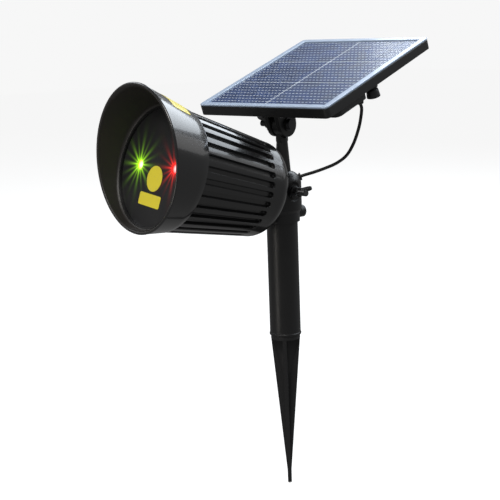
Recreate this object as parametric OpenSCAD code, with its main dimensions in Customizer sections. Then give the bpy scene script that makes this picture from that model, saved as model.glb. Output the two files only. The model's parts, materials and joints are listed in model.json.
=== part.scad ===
// Light projector on a ground stake, with a tilting lamp and a small solar panel on top.
// Origin: axis of the stake at the ground line. +Z runs up the stake and the lamp faces -Y.

/* [Stake] */
// Outer diameter of the post tube
post_od = 25.5; // [22:0.5:34]
// Wall of the post tube
post_wall = 2; // [1.2:0.1:3]
// Length of the post tube above the ground line
post_len = 105; // [80:1:160]
// Length of the spike below the ground line
spike_len = 130; // [90:1:200]
// Thickness of each spike blade
blade_t = 3.2; // [2:0.1:5]

/* [Head] */
// Radius of the swivel head
head_r = 16.5; // [16:0.5:22]
// Height of the swivel head above the end of the post
head_h = 30.5; // [29:0.5:40]
// Height of the tilt bolt above the end of the post
pivot_h = 15; // [14:0.5:18]
// Diameter of the tilt bolt
tilt_bolt_d = 5; // [4:0.5:6]
// Height of the panel hinge above the top of the head
arm_rise = 38; // [32:1:60]

/* [Lamp] */
// Angle by which the lamp points above the horizontal
lamp_pitch = 16; // [-8:1:30]
// Outer radius of the lamp housing at the hood seam
housing_r = 47.3; // [42:0.1:58]
// Outer radius of the lamp housing at its rear shoulder
housing_rear_r = 38.6; // [36:0.1:46]
// Length of the finned housing from its rear wall to the hood seam
housing_len = 92; // [88:1:115]
// Number of cooling ribs
rib_count = 32; // [20:1:36]
// Width of the grooves between the ribs
groove_w = 4.2; // [2.5:0.1:5]
// Depth of the grooves between the ribs
groove_d = 3; // [1.5:0.1:3.5]
// Length of the hood along its upper side
hood_top_len = 45.9; // [35:0.1:60]
// Length of the hood along its lower side
hood_low_len = 19; // [17:0.1:30]
// Wall of the hood
hood_wall = 2.6; // [2:0.1:4]
// Distance of each light aperture from the lamp axis
aperture_x = 23; // [18:0.5:26]
// Diameter of each light aperture
aperture_d = 8; // [6:0.1:9]
// Diameter of each laser module
module_d = 12; // [10:0.1:14]

/* [Panel] */
// Width of the solar panel
panel_w = 133; // [120:1:170]
// Length of the solar panel, front to back
panel_l = 147; // [130:1:190]
// Angle by which the panel leans forward
panel_lean = 19; // [0:1:45]
// Angle by which the panel is turned on the head
panel_turn = 10; // [0:1:30]
// Width of the bright bezel around the cells
bezel_w = 7; // [4:0.5:10]
// Rows of solar cells
cell_rows = 3; // [2:1:5]
// Columns of solar cells
cell_cols = 2; // [1:1:4]

/* [Lead] */
// Diameter of the lead between panel and head
lead_d = 2.6; // [2:0.1:3.6]

/* [Hidden] */
$fn = 64;

// Clearances
run_gap = 0.3;      // between pieces that move past each other
fit_gap = 0.05;     // radial, a shaft in its bore
seat_gap = 0.1;     // between a fixed piece and its recess
eps = 0.01;         // makes cuts pass through a face

// Stake
post_r = post_od / 2;
tube_bore_r = post_r - post_wall;
spike_flange_r = post_r - 0.65;
spike_flange_t = 3.5;
spike_plug_len = 20;
plug_wall = 2.5;
blade_half_w = post_r - 0.85;
blade_tip_w = 0.6;
spike_core_r = 3.4;

// Head
pivot_z = post_len + pivot_h;
head_top = post_len + head_h;
head_fillet = 10;
head_chamfer = 2.5;
skirt_r = post_r + run_gap + 1.6;
skirt_len = 10.5;
yoke_low = post_len - 3;
spigot_len = 26;
spigot_r = tube_bore_r - fit_gap;
spigot_wall = 3.2;
lug_t = 9;
lug_eye_r = 6.6;
lug_neck = 9;
slot_w = lug_t + 2 * run_gap;
slot_floor = pivot_z - 10;
slot_roof = pivot_z + 8.6;
slot_top_y = -5;
bolt_r = tilt_bolt_d / 2;
face_x = head_r - 1.3;
face_r = 7.5;
washer_r = 5.5;
washer_t = 1;
nut_t = 7;
nut_clear = 0.1;
bolt_end_x = face_x + washer_t + 14.8;
arm_y = 2.5;
arm_base_r = 6.35;
arm_seat_z = slot_roof + 2;
arm_top_r = 4.3;
grub_z = arm_seat_z + 2.2;
grub_r = 1.6;
knob_z = post_len - 4.5;
knob_boss_r = 5.5;
knob_boss_y = skirt_r + 2.4;
knob_r = 5;
knob_len = 6.8;
knob_shank_r = 2;
grommet_turn = 60;
grommet_rise = 19;
grommet_z = head_top - 5.5;
grommet_seat = 4.5;
grommet_r = 2.5;
grommet_flange_r = 3.3;
grommet_flange_t = 1.2;

// Lamp, measured along its own axis from a point 4 mm below the tilt bolt
lamp_drop = 4;
pivot_ly = lamp_drop * cos(16);
pivot_lz = lamp_drop * sin(16);
rear_z = head_r + 4;
shoulder_z = rear_z + 12;
seam_z = rear_z + housing_len;
rear_wall = 4;
rib_back = 2.4;
taper = (housing_r - housing_rear_r) / (seam_z - shoulder_z);
core_seam_r = housing_r - groove_d - rib_back + 0.1;
core_rear_r = housing_rear_r - groove_d - rib_back + 0.4;
collar_r = housing_r - 2.5;
collar_end = seam_z + 9.1;
groove_start = shoulder_z + 8.5;
seal_t = 0.8;
plate_z = collar_end + seal_t;
plate_t = 2.5;
plate_r = collar_r + 2.1;
ring_t = 2.1;
hood_r = housing_r + 0.3;
hood_flare = 0.218;
hood_step_z = plate_z;
hood_cut_z = (hood_top_len + hood_low_len) / 2;
mouth_half = hood_r + hood_flare * hood_cut_z;
hood_cut_turn = atan((hood_top_len - hood_low_len) / (2 * mouth_half + 1));
aperture_y = 1;
window_r = aperture_d / 2 + 1.1;
window_t = 1.2;
grating_t = 0.8;
module_r = module_d / 2;
module_len = 31.6;
module_front = plate_z - grating_t;
block_z = plate_z - 26.4;
block_t = 14;
block_w = 2 * aperture_x + module_d + 6;
block_h = 20;
boss_x = 8;
boss_r = 4;
laser_screw_r = 1.5;
board_gap = 8;
board_t = 1.6;
board_z = block_z - board_gap - board_t;
board_w = 60;
board_h = 42;
spacer_x = 14;
spacer_y = 6.5;
spacer_r = 2.5;
board_screw_r = 1.2;
cradle_z = rear_z + 29.5;
cradle_t = 2;
stand_x = 20;
stand_y = 16;
stand_r = 3.2;
battery_r = 9.1;
battery_len = 65;
battery_z = cradle_z + cradle_t + battery_r;
flange_w = 32;
flange_h = 20;
flange_t = 3;
lug_screw_x = 11.5;
lug_screw_y = 6.8;
patch_t = 0.2;

// Panel, measured in its own frame: hinge axis along X, back along Y, face along +Z
hinge_z = head_top + arm_rise;
panel_cy = panel_l / 2 - 19.5;
under_z = 14.5;
cover_t = 2;
ledge_t = 2;
ledge_w = 5;
tray_wall = 3;
cover_screw_in = tray_wall + 2.4;
tray_corner = 4;
insert_w = panel_w - 2 * (tray_wall + seat_gap);
insert_l = panel_l - 2 * (tray_wall + seat_gap);
ledge_z = under_z + cover_t;
backsheet_z = ledge_z + ledge_t;
backsheet_t = 1;
cell_z = backsheet_z + backsheet_t;
cell_t = 0.3;
ribbon_t = 0.2;
glass_z = cell_z + cell_t + ribbon_t;
glass_t = 2.4;
bezel_z = glass_z + glass_t;
bezel_t = 1.6;
cell_gap = 2.4;
field_w = panel_w - 2 * bezel_w - 2;
field_l = panel_l - 2 * bezel_w - 2;
cell_w = (field_w - (cell_cols - 1) * cell_gap) / cell_cols;
cell_l = (field_l - (cell_rows - 1) * cell_gap) / cell_rows;
tongue_t = 6;
tongue_r = 9.3;
ear_t = 4;
ear_r = 10.3;
ear_x = tongue_t / 2 + 0.2;
clevis_base_t = 2.5;
clevis_x = 15;
clevis_y = 13;
clevis_screw_x = clevis_x - 3.6;
clevis_screw_y = clevis_y - 4;
pivot_r = 2.5;
hinge_face = ear_x + ear_t;
cover_pad_t = 1.8;
box_low = 8;
box_x = panel_w / 2 - 4 - 40;
box_y = -3;
box_w = 40;
box_l = 41;
box_wall = 1.5;
box_screw_in = 4;
gland_x = box_x + box_w - 4.6;
gland_y = box_y + 35;
gland_r = 3.2;
gland_len = 3;
switch_x = panel_w / 2 - 6;
switch_y = box_y + box_l + 9;
switch_r = 5;
switch_travel = 1.5;
cap_low = 4.5;
lead_r = lead_d / 2;

// ---- Helpers ----

// Places children that are written in the lamp's frame
module in_lamp() translate([0, 0, pivot_z]) rotate([90 - lamp_pitch, 0, 0])
    translate([0, -pivot_ly, -pivot_lz]) children();

// Places children that are written in the panel's frame
module in_panel() translate([0, arm_y, hinge_z]) rotate([0, 0, panel_turn])
    rotate([panel_lean, 0, 0]) children();

// Rod along X between two places
module rod_x(x0, x1, r) translate([x0, 0, 0]) rotate([0, 90, 0]) cylinder(h = x1 - x0, r = r);

// Rod along +Y between two places
module rod_y(y0, y1, r) translate([0, y0, 0]) rotate([-90, 0, 0]) cylinder(h = y1 - y0, r = r);

// Ring about Z
module ring(z, h, r_out, r_in) translate([0, 0, z]) difference() {
    cylinder(h = h, r = r_out);
    translate([0, 0, -eps]) cylinder(h = h + 2 * eps, r = r_in);
}

// Plate with round corners, centred on Z
module soft_plate(w, l, h, r) linear_extrude(height = h) soft_square(w, l, r);

module soft_square(w, l, r) union() {
    square([w - 2 * r, l], center = true);
    square([w, l - 2 * r], center = true);
    for (x = [-1, 1], y = [-1, 1]) translate([x * (w / 2 - r), y * (l / 2 - r)]) circle(r = r);
}

// Screw with its head below z = 0 and its shank above, along +Z
module screw(head_r, head_t, shank_r, shank_l) {
    translate([0, 0, -head_t]) cylinder(h = head_t, r = head_r);
    translate([0, 0, -eps]) cylinder(h = shank_l + eps, r = shank_r);
}

// Four places about a centre
module four(x, y) for (a = [-1, 1], b = [-1, 1]) translate([a * x, b * y, 0]) children();

// Wing nut on a rod along +X, with its flat face at x = 0
module wing_nut(bore_r) difference() {
    union() {
        rod_x(0, 2.2, 4.6);
        rod_x(2.2, nut_t, 4);
        translate([0, 0, -1.1]) linear_extrude(height = 2.2) union() {
            for (s = [-1, 1]) {
                polygon([[1.2, s * 2], [1.2, s * 4.4], [5, s * 9.4], [9.6, s * 10.9], [nut_t, s * 2]]);
                translate([8.2, s * 7.9]) circle(r = 3.3);
            }
        }
    }
    rod_x(-eps, nut_t + 6, bore_r);
}

// ---- Stake ----

module post_tube() color("#1b1b1c") ring(0, post_len, post_r, tube_bore_r);

module ground_spike() color("#1d1d1e") {
    translate([0, 0, -spike_flange_t]) cylinder(h = spike_flange_t, r = spike_flange_r);
    difference() {
        translate([0, 0, -eps]) cylinder(h = spike_plug_len, r = spigot_r);
        cylinder(h = spike_plug_len, r = spigot_r - plug_wall);
    }
    for (a = [45, 135]) rotate([90, 0, a]) translate([0, 0, -blade_t / 2])
        linear_extrude(height = blade_t) polygon([
            [-blade_half_w, -spike_flange_t + eps], [blade_half_w, -spike_flange_t + eps],
            [blade_tip_w, -spike_len], [-blade_tip_w, -spike_len]]);
    translate([0, 0, -spike_len]) cylinder(h = spike_len - spike_flange_t, r1 = 0.8, r2 = spike_core_r);
}

// ---- Head ----

// Turns the seat of the lead's grommet into place: +Z leads out of the head
module at_grommet() rotate([0, 0, grommet_turn])
    translate([head_r - head_fillet + sqrt(pow(head_fillet, 2) - pow(head_fillet - 5.5, 2)), 0, grommet_z])
        rotate([0, 90 - grommet_rise, 0]) children();

module head_yoke() color("#202022") difference() {
    union() {
        rotate_extrude() intersection() {
            union() {
                polygon([[0, yoke_low], [skirt_r, yoke_low], [head_r, yoke_low + head_chamfer],
                    [head_r, head_top - head_fillet], [0, head_top - head_fillet]]);
                square([head_r - head_fillet, head_top]);
                translate([head_r - head_fillet, head_top - head_fillet]) circle(r = head_fillet);
            }
            translate([0, yoke_low]) square([head_r, head_top - yoke_low]);
        }
        translate([0, 0, post_len - skirt_len]) cylinder(h = skirt_len, r = skirt_r);
        translate([0, 0, post_len - spigot_len]) cylinder(h = spigot_len, r = spigot_r);
        translate([0, 0, knob_z]) rod_y(post_r + 1, knob_boss_y, knob_boss_r);
    }
    // socket for the post, around the spigot
    difference() {
        translate([0, 0, post_len - skirt_len - eps]) cylinder(h = skirt_len + eps, r = post_r + run_gap);
        cylinder(h = head_top, r = spigot_r);
    }
    translate([0, 0, post_len - spigot_len - eps]) cylinder(h = spigot_len - 6, r = spigot_r - spigot_wall);
    // slot for the lamp's lug, open at the front and above its neck
    translate([-slot_w / 2, -head_r - 1, slot_floor]) cube([slot_w, head_r + 1, slot_roof - slot_floor]);
    translate([-slot_w / 2, 0, pivot_z]) rotate([0, 90, 0])
        cylinder(h = slot_w, r = lug_eye_r + 1);
    translate([-slot_w / 2, -head_r - 1, slot_floor])
        cube([slot_w, head_r + 1 + slot_top_y, head_top - slot_floor + 1]);
    translate([0, 0, pivot_z]) rod_x(-head_r - 1, head_r + 1, bolt_r + fit_gap);
    // flats that the washers rest on
    for (s = [-1, 1]) translate([s * (face_x + 5), 0, pivot_z]) rotate([0, 90, 0])
        cylinder(h = 10, r = face_r, center = true);
    translate([0, arm_y, arm_seat_z]) cylinder(h = head_top, r = arm_base_r + fit_gap);
    translate([0, 0, grub_z]) rod_y(arm_y, head_r + 1, grub_r + fit_gap);
    translate([0, 0, knob_z]) rod_y(post_r - 1, knob_boss_y + 1, knob_shank_r + fit_gap);
    at_grommet() translate([0, 0, -grommet_seat]) cylinder(h = grommet_seat + 4, r = grommet_r + fit_gap);
}

module tilt_bolt() color("#b9bbbe") translate([0, 0, pivot_z]) {
    rod_x(-face_x - washer_t - eps, bolt_end_x, bolt_r);
    translate([-face_x - washer_t, 0, 0]) rotate([0, -90, 0]) intersection() {
        cylinder(h = 3.2, r = 4.5);
        translate([0, 0, -2.2]) sphere(r = 5.4);
    }
}

module tilt_washers() color("#c4c6c8") translate([0, 0, pivot_z]) for (s = [0, 1]) mirror([s, 0, 0])
    difference() {
        rod_x(face_x, face_x + washer_t, washer_r);
        rod_x(face_x - eps, face_x + washer_t + eps, bolt_r + fit_gap);
    }

module tilt_wing_nut() color("#19191a") translate([face_x + washer_t, 0, pivot_z]) rotate([16, 0, 0])
    wing_nut(bolt_r + fit_gap);

module lock_knob() color("#19191a") translate([0, 0, knob_z]) {
    rod_y(post_r + run_gap, knob_boss_y + 1, knob_shank_r);
    intersection() {
        rod_y(knob_boss_y + run_gap, knob_boss_y + run_gap + knob_len, knob_r);
        translate([0, knob_boss_y + run_gap + knob_len - 7.6, 0]) sphere(r = 7.6);
    }
}

module panel_arm() color("#1d1d1f") difference() {
    union() {
        translate([0, arm_y, arm_seat_z]) cylinder(h = head_top + 0.5 - arm_seat_z, r = arm_base_r);
        translate([0, arm_y, head_top + 0.4])
            cylinder(h = arm_rise - 11.2, r1 = arm_base_r, r2 = arm_top_r);
        translate([0, arm_y, 0]) rotate([0, 0, panel_turn]) {
            translate([-tongue_t / 2, -arm_top_r, head_top + arm_rise - 14])
                cube([tongue_t, 2 * arm_top_r, 14]);
            translate([0, 0, hinge_z]) rod_x(-tongue_t / 2, tongue_t / 2, tongue_r);
        }
    }
    translate([0, arm_y, hinge_z]) rotate([0, 0, panel_turn]) rod_x(-tongue_t, tongue_t, pivot_r + fit_gap);
    // flat for the set screw
    translate([-arm_base_r, arm_y + arm_base_r - 0.4, arm_seat_z - 1]) cube([2 * arm_base_r, 5, 6.5]);
}

module arm_set_screw() color("#8e9093") translate([0, 0, grub_z]) difference() {
    rod_y(arm_y + arm_base_r - 0.4, head_r - 4.2, grub_r);
    translate([0, head_r - 5.4, 0]) rotate([-90, 0, 0]) cylinder(h = 3, r = 0.8, $fn = 6);
}

module lead_grommet() color("#151516") at_grommet() {
    translate([0, 0, -grommet_seat]) cylinder(h = grommet_seat + eps, r = grommet_r);
    translate([0, 0, 0.35]) cylinder(h = grommet_flange_t - 0.35, r = grommet_flange_r);
    cylinder(h = 0.36, r = grommet_r);
}

// ---- Lamp ----

// Straight-sided outline of the housing in the (radius, z) plane
module housing_outline() intersection() {
    union() {
        square([housing_rear_r - 12, seam_z]);
        translate([housing_rear_r - 12, shoulder_z]) circle(r = 12);
        polygon([[0, shoulder_z], [housing_rear_r, shoulder_z], [housing_r, seam_z], [0, seam_z]]);
        translate([0, seam_z - 1]) square([collar_r, collar_end - seam_z + 1]);
    }
    translate([0, rear_z]) square([housing_r, collar_end - rear_z]);
}

// One groove between two ribs: it follows the taper and has round ends
module groove() translate([housing_rear_r - groove_d, 0, shoulder_z]) rotate([0, atan(taper), 0])
    rotate([90, 0, 90]) linear_extrude(height = 10) union() {
        translate([-groove_w / 2, groove_start - shoulder_z + groove_w / 2])
            square([groove_w, seam_z - groove_start]);
        translate([0, groove_start - shoulder_z + groove_w / 2]) circle(r = groove_w / 2);
    }

module finned_housing() color("#141415") in_lamp() {
    difference() {
        rotate_extrude($fn = 128) housing_outline();
        rotate_extrude($fn = 128) polygon([
            [0, rear_z + rear_wall], [housing_rear_r - 10.6, rear_z + rear_wall],
            [core_rear_r, shoulder_z + 0.5], [core_seam_r, seam_z], [core_seam_r, collar_end + 1],
            [0, collar_end + 1]]);
        intersection() {
            for (i = [0 : rib_count - 1]) rotate([0, 0, (i + 0.5) * 360 / rib_count]) groove();
            cylinder(h = seam_z, r = housing_r + 20);
        }
        // way for the lug's neck and its four screws
        translate([-slot_w / 2, pivot_ly - lug_neck / 2 - run_gap, rear_z - 1])
            cube([slot_w, lug_neck + 2 * run_gap, rear_wall + 2]);
        translate([0, pivot_ly, rear_z + 1]) four(lug_screw_x, lug_screw_y)
            cylinder(h = rear_wall, r = board_screw_r + fit_gap);
    }
    difference() {
        translate([0, 0, rear_z + rear_wall - eps]) four(stand_x, stand_y)
            cylinder(h = cradle_z - rear_z - rear_wall + eps, r = stand_r);
        translate([0, 0, cradle_z - 8]) four(stand_x, stand_y) cylinder(h = 9, r = board_screw_r + fit_gap);
    }
}

module hood() color("#161617") in_lamp() difference() {
    rotate_extrude($fn = 128) polygon([
        [collar_r + fit_gap, seam_z], [hood_r, seam_z],
        [hood_r + hood_flare * 60, seam_z + 60], [hood_r + hood_flare * 60 - hood_wall, seam_z + 60],
        [plate_r + seat_gap + 1.1, plate_z + plate_t + ring_t + 0.6],
        [plate_r + seat_gap, plate_z + plate_t + ring_t], [plate_r + seat_gap, hood_step_z],
        [collar_r + fit_gap, hood_step_z]]);
    // slanting mouth
    translate([0, 0, seam_z + hood_cut_z]) rotate([hood_cut_turn, 0, 0])
        translate([-100, -100, 0]) cube([200, 200, 100]);
}

module plate_seal() color("#2b2b2b") in_lamp() ring(collar_end, seal_t, collar_r - 0.1, collar_r - 2.6);

// Places children at one of the two light apertures: side is -1 for green and 1 for red
module at_aperture(side) in_lamp() translate([side * aperture_x, aperture_y, 0]) children();

module front_plate() color("#1a1a1b") in_lamp() difference() {
    union() {
        translate([0, 0, plate_z]) cylinder(h = plate_t, r = plate_r, $fn = 128);
        for (s = [-1, 1]) translate([s * boss_x, aperture_y, block_z + block_t])
            cylinder(h = plate_z - block_z - block_t + eps, r = boss_r);
    }
    for (s = [-1, 1]) translate([s * aperture_x, aperture_y, 0]) {
        translate([0, 0, plate_z - 1]) cylinder(h = plate_t + 2, r = aperture_d / 2);
        translate([0, 0, plate_z - eps]) cylinder(h = window_t + eps, r = window_r + seat_gap);
    }
    for (s = [-1, 1]) translate([s * boss_x, aperture_y, block_z + block_t - eps])
        cylinder(h = 10, r = laser_screw_r + fit_gap);
}

module retaining_ring() color("#101011") in_lamp()
    ring(plate_z + plate_t, ring_t, plate_r + seat_gap - 0.02, plate_r - 1.5, $fn = 128);

module window() translate([0, 0, plate_z]) cylinder(h = window_t, r = window_r);
module grating() translate([0, 0, plate_z - grating_t]) cylinder(h = grating_t, r = window_r - 0.1);

// Laser module: barrel, rear cap and wire boss
module laser_module() difference() {
    union() {
        translate([0, 0, module_front - module_len + 4]) cylinder(h = module_len - 4, r = module_r);
        translate([0, 0, module_front - module_len]) cylinder(h = 5, r = module_r - 1.5);
    }
    translate([0, 0, module_front - 3]) cylinder(h = 4, r = 2.5);
}

module green_window() color("#3fdc6a") at_aperture(-1) window();
module red_window() color("#d9483c") at_aperture(1) window();
module green_grating() color("#9fc7b0") at_aperture(-1) grating();
module red_grating() color("#c7a39f") at_aperture(1) grating();
module green_module() color("#b08d4f") at_aperture(-1) laser_module();
module red_module() color("#b5924f") at_aperture(1) laser_module();

module laser_block() color("#9da1a5") in_lamp() difference() {
    translate([0, aperture_y, block_z]) soft_plate(block_w, block_h, block_t, 2);
    for (s = [-1, 1]) translate([s * aperture_x, aperture_y, block_z - 1])
        cylinder(h = block_t + 2, r = module_r + fit_gap);
    for (s = [-1, 1]) translate([s * boss_x, aperture_y, block_z - 1])
        cylinder(h = block_t + 2, r = laser_screw_r + fit_gap);
    translate([0, aperture_y, block_z - eps]) four(spacer_x, spacer_y)
        cylinder(h = 5, r = board_screw_r + fit_gap);
}

module laser_screws() color("#c0c2c4") in_lamp() for (s = [-1, 1])
    translate([s * boss_x, aperture_y, block_z]) screw(2.8, 2, laser_screw_r, block_t + 8);

module board_spacers() color("#c9b56a") in_lamp() translate([0, aperture_y, board_z + board_t])
    four(spacer_x, spacer_y) ring(0, board_gap, spacer_r, board_screw_r + fit_gap);

module driver_board() color("#1f6b3a") in_lamp() difference() {
    translate([0, aperture_y, board_z]) soft_plate(board_w, board_h, board_t, 2);
    translate([0, aperture_y, board_z - 1]) four(spacer_x, spacer_y)
        cylinder(h = board_t + 2, r = board_screw_r + fit_gap);
}

module board_parts() color("#2a2a2c") in_lamp() translate([0, aperture_y, board_z]) mirror([0, 0, 1]) {
    translate([-22, -19, 0]) cube([9, 9, 1.6]);
    translate([20, -9, 0]) cylinder(h = 8, r = 4);
    translate([-4, -17, 0]) cube([10, 6, 5]);
    translate([19, 8, 0]) cube([7, 5, 1.4]);
    translate([-24, 9, 0]) cube([6, 8, 2]);
}

module board_screws() color("#c0c2c4") in_lamp() translate([0, aperture_y, board_z])
    four(spacer_x, spacer_y) screw(2.1, 1.6, board_screw_r, board_t + board_gap + 4.5);

module battery_cell() color("#3a76b8") in_lamp() translate([0, 0, battery_z]) {
    rod_x(-battery_len / 2 + 1, battery_len / 2, battery_r);
    rod_x(-battery_len / 2, -battery_len / 2 + 1.01, 4);
}

module battery_cradle() color("#26262a") in_lamp() difference() {
    translate([0, 0, cradle_z]) {
        soft_plate(2 * stand_x + 10, 2 * stand_y + 7, cradle_t, 3);
        soft_plate(battery_len + 3.8, 10, cradle_t, 1);
        for (s = [-1, 1]) {
            translate([s * (battery_len / 2 + 1) - 0.9, -5, 0]) cube([1.8, 10, 15]);
            translate([-stand_x - 3, s * (battery_r + 1.1) - 1, 0]) cube([2 * stand_x + 6, 2, 11]);
        }
    }
    translate([0, 0, cradle_z - 1]) four(stand_x, stand_y)
        cylinder(h = cradle_t + 2, r = board_screw_r + fit_gap);
}

module cradle_screws() color("#c0c2c4") in_lamp() four(stand_x, stand_y)
    translate([0, 0, cradle_z + cradle_t]) mirror([0, 0, 1]) screw(2.1, 1.6, board_screw_r, cradle_t + 7);

module tilt_lug() color("#1b1b1d") in_lamp() difference() {
    union() {
        translate([0, pivot_ly, pivot_lz]) rod_x(-lug_t / 2, lug_t / 2, lug_eye_r);
        translate([-lug_t / 2, pivot_ly - lug_neck / 2, pivot_lz])
            cube([lug_t, lug_neck, rear_z + rear_wall - pivot_lz + eps]);
        translate([0, pivot_ly, rear_z + rear_wall]) soft_plate(flange_w, flange_h, flange_t, 2);
    }
    translate([0, pivot_ly, pivot_lz]) rod_x(-lug_t, lug_t, bolt_r + fit_gap);
    translate([0, pivot_ly, rear_z + rear_wall - 1]) four(lug_screw_x, lug_screw_y)
        cylinder(h = flange_t + 2, r = board_screw_r + fit_gap);
}

module lug_screws() color("#c0c2c4") in_lamp() translate([0, pivot_ly, rear_z + rear_wall + flange_t])
    mirror([0, 0, 1]) four(lug_screw_x, lug_screw_y) screw(2.1, 1.6, board_screw_r, flange_t + 2.6);

module plate_patch_round() color("#e6c53a") in_lamp()
    translate([0, -8.5, plate_z + plate_t]) cylinder(h = patch_t, r = 9.8);

module plate_patch_strip() color("#e6c53a") in_lamp()
    translate([-1.7, -25, plate_z + plate_t]) rotate([0, 0, -5]) soft_plate(28, 9.5, patch_t, 1.5);

// Plain patch on top of the hood, bent to its flare
module hood_patch() color("#e6c53a") in_lamp() intersection() {
    rotate_extrude($fn = 128) polygon([
        [hood_r + hood_flare * 9, seam_z + 9], [hood_r + hood_flare * 9 + 0.3, seam_z + 9],
        [hood_r + hood_flare * 28 + 0.3, seam_z + 28], [hood_r + hood_flare * 28, seam_z + 28]]);
    translate([-12, 0, seam_z]) cube([24, 100, 60]);
}

// ---- Panel ----

module hinge_clevis() color("#1c1c1e") in_panel() difference() {
    union() {
        for (s = [-1, 1]) translate([s * (ear_x + ear_t / 2) - ear_t / 2, 0, 0]) {
            rotate([0, 90, 0]) cylinder(h = ear_t, r = ear_r);
            translate([0, -ear_r, 0]) cube([ear_t, 2 * ear_r, under_z - clevis_base_t + eps]);
        }
        translate([0, 0, under_z - clevis_base_t]) soft_plate(2 * clevis_x, 2 * clevis_y, clevis_base_t, 3);
    }
    rod_x(-20, 20, pivot_r + fit_gap);
    four(clevis_screw_x, clevis_screw_y) translate([0, 0, under_z - clevis_base_t - 1])
        cylinder(h = clevis_base_t + 2, r = laser_screw_r + fit_gap);
}

module clevis_screws() color("#8f9194") in_panel() translate([0, 0, under_z - clevis_base_t])
    four(clevis_screw_x, clevis_screw_y) screw(2.6, 1.8, laser_screw_r, clevis_base_t + cover_t + 1);

module panel_pivot_bolt() color("#b9bbbe") in_panel() {
    rod_x(-hinge_face - washer_t - nut_t - 5.5, hinge_face + washer_t + eps, pivot_r);
    rod_x(hinge_face + washer_t, hinge_face + washer_t + 3, 4.4);
}

module panel_pivot_washers() color("#c4c6c8") in_panel() for (s = [0, 1]) mirror([s, 0, 0]) difference() {
    rod_x(hinge_face, hinge_face + washer_t, washer_r);
    rod_x(hinge_face - eps, hinge_face + washer_t + eps, pivot_r + fit_gap);
}

module panel_wing_nut() color("#19191a") in_panel() rotate([-62, 0, 0])
    translate([-hinge_face - washer_t, 0, 0]) rotate([0, 0, 180]) wing_nut(pivot_r + fit_gap);

// Places children at the middle of the panel
module at_panel(z) in_panel() translate([0, panel_cy, z]) children();

// Screw places of the back cover, on the tray's ledge
module cover_places() for (x = [-1, 1], y = [-1, 0, 1])
    translate([x * (panel_w / 2 - cover_screw_in), y * (panel_l / 2 - cover_screw_in), 0]) children();

module panel_tray() color("#17171a") at_panel(under_z) difference() {
    soft_plate(panel_w, panel_l, glass_z + glass_t - under_z, tray_corner);
    translate([0, 0, ledge_z + ledge_t - under_z])
        soft_plate(panel_w - 2 * tray_wall, panel_l - 2 * tray_wall, 20, 2);
    translate([0, 0, -1])
        soft_plate(panel_w - 2 * tray_wall, panel_l - 2 * tray_wall, cover_t + 1, 2);
    translate([0, 0, -1]) soft_plate(panel_w - 2 * (tray_wall + ledge_w),
        panel_l - 2 * (tray_wall + ledge_w), 20, 2);
    cover_places() cylinder(h = cover_t + ledge_t - 0.4, r = board_screw_r + fit_gap);
}

module back_cover() color("#18181b") difference() {
    union() {
        at_panel(under_z) soft_plate(insert_w, insert_l, cover_t, 2);
        in_panel() translate([0, 0, ledge_z - eps])
            soft_plate(2 * clevis_x + 6, 2 * clevis_y - 4, cover_pad_t + eps, 3);
    }
    at_panel(under_z - 1) cover_places() cylinder(h = cover_t + 2, r = board_screw_r + fit_gap);
    at_panel(under_z - 1) cover_places() cylinder(h = 2, r = 2.3);
    in_panel() translate([0, 0, under_z - 1]) four(clevis_screw_x, clevis_screw_y)
        cylinder(h = 6, r = laser_screw_r + fit_gap);
    in_panel() box_places() translate([0, 0, under_z - 1]) cylinder(h = 6, r = board_screw_r + fit_gap);
}

module cover_screws() color("#8f9194") at_panel(under_z + 1) cover_places()
    screw(2.1, 0.9, board_screw_r, cover_t + ledge_t - 1.6);

module backsheet() color("#e9ecef") at_panel(backsheet_z)
    soft_plate(insert_w, insert_l, backsheet_t, 1.9);

// Places children at the middle of each cell
module each_cell() for (i = [0 : cell_cols - 1], j = [0 : cell_rows - 1])
    translate([(i - (cell_cols - 1) / 2) * (cell_w + cell_gap),
        (j - (cell_rows - 1) / 2) * (cell_l + cell_gap), 0]) children();

module solar_cells() color("#27407c") at_panel(cell_z) each_cell()
    translate([-cell_w / 2, -cell_l / 2, 0]) cube([cell_w, cell_l, cell_t]);

module cell_ribbons() color("#d5d9de") at_panel(cell_z + cell_t) each_cell()
    for (s = [-1, 1]) translate([s * cell_w / 4 - 0.6, -cell_l / 2 + 1, 0]) cube([1.2, cell_l - 2, ribbon_t]);

module cover_glass() color("#9db4cf") at_panel(glass_z)
    soft_plate(insert_w, insert_l, glass_t, 1.9);

module bezel() color("#c9d2dc") at_panel(bezel_z) difference() {
    soft_plate(panel_w, panel_l, bezel_t, tray_corner);
    translate([0, 0, -1]) soft_plate(panel_w - 2 * bezel_w, panel_l - 2 * bezel_w, 10, 2);
}

// Screw places of the control box, on its middle line
module box_places() for (s = [-1, 1])
    translate([box_x + box_w / 2, box_y + box_l / 2 + s * (box_l / 2 - box_screw_in), 0]) children();

module control_box() color("#1b1b1e") in_panel() difference() {
    union() {
        difference() {
            translate([box_x + box_w / 2, box_y + box_l / 2, box_low])
                soft_plate(box_w, box_l, under_z - box_low, 5);
            translate([box_x + box_w / 2, box_y + box_l / 2, box_low + box_wall])
                soft_plate(box_w - 2 * box_wall, box_l - 2 * box_wall, 10, 3.5);
        }
        box_places() translate([0, 0, box_low]) cylinder(h = under_z - box_low, r = 3);
    }
    box_places() translate([0, 0, box_low - 1]) cylinder(h = 20, r = board_screw_r + fit_gap);
    box_places() translate([0, 0, box_low - 1]) cylinder(h = 2.8, r = 2.3);
    translate([gland_x, gland_y, box_low - 1]) cylinder(h = 4, r = gland_r - 1 + fit_gap);
}

module box_screws() color("#8f9194") in_panel() box_places() translate([0, 0, box_low + 1.8])
    screw(2.1, 1.6, board_screw_r, ledge_z + 0.8 - box_low - 1.8);

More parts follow.
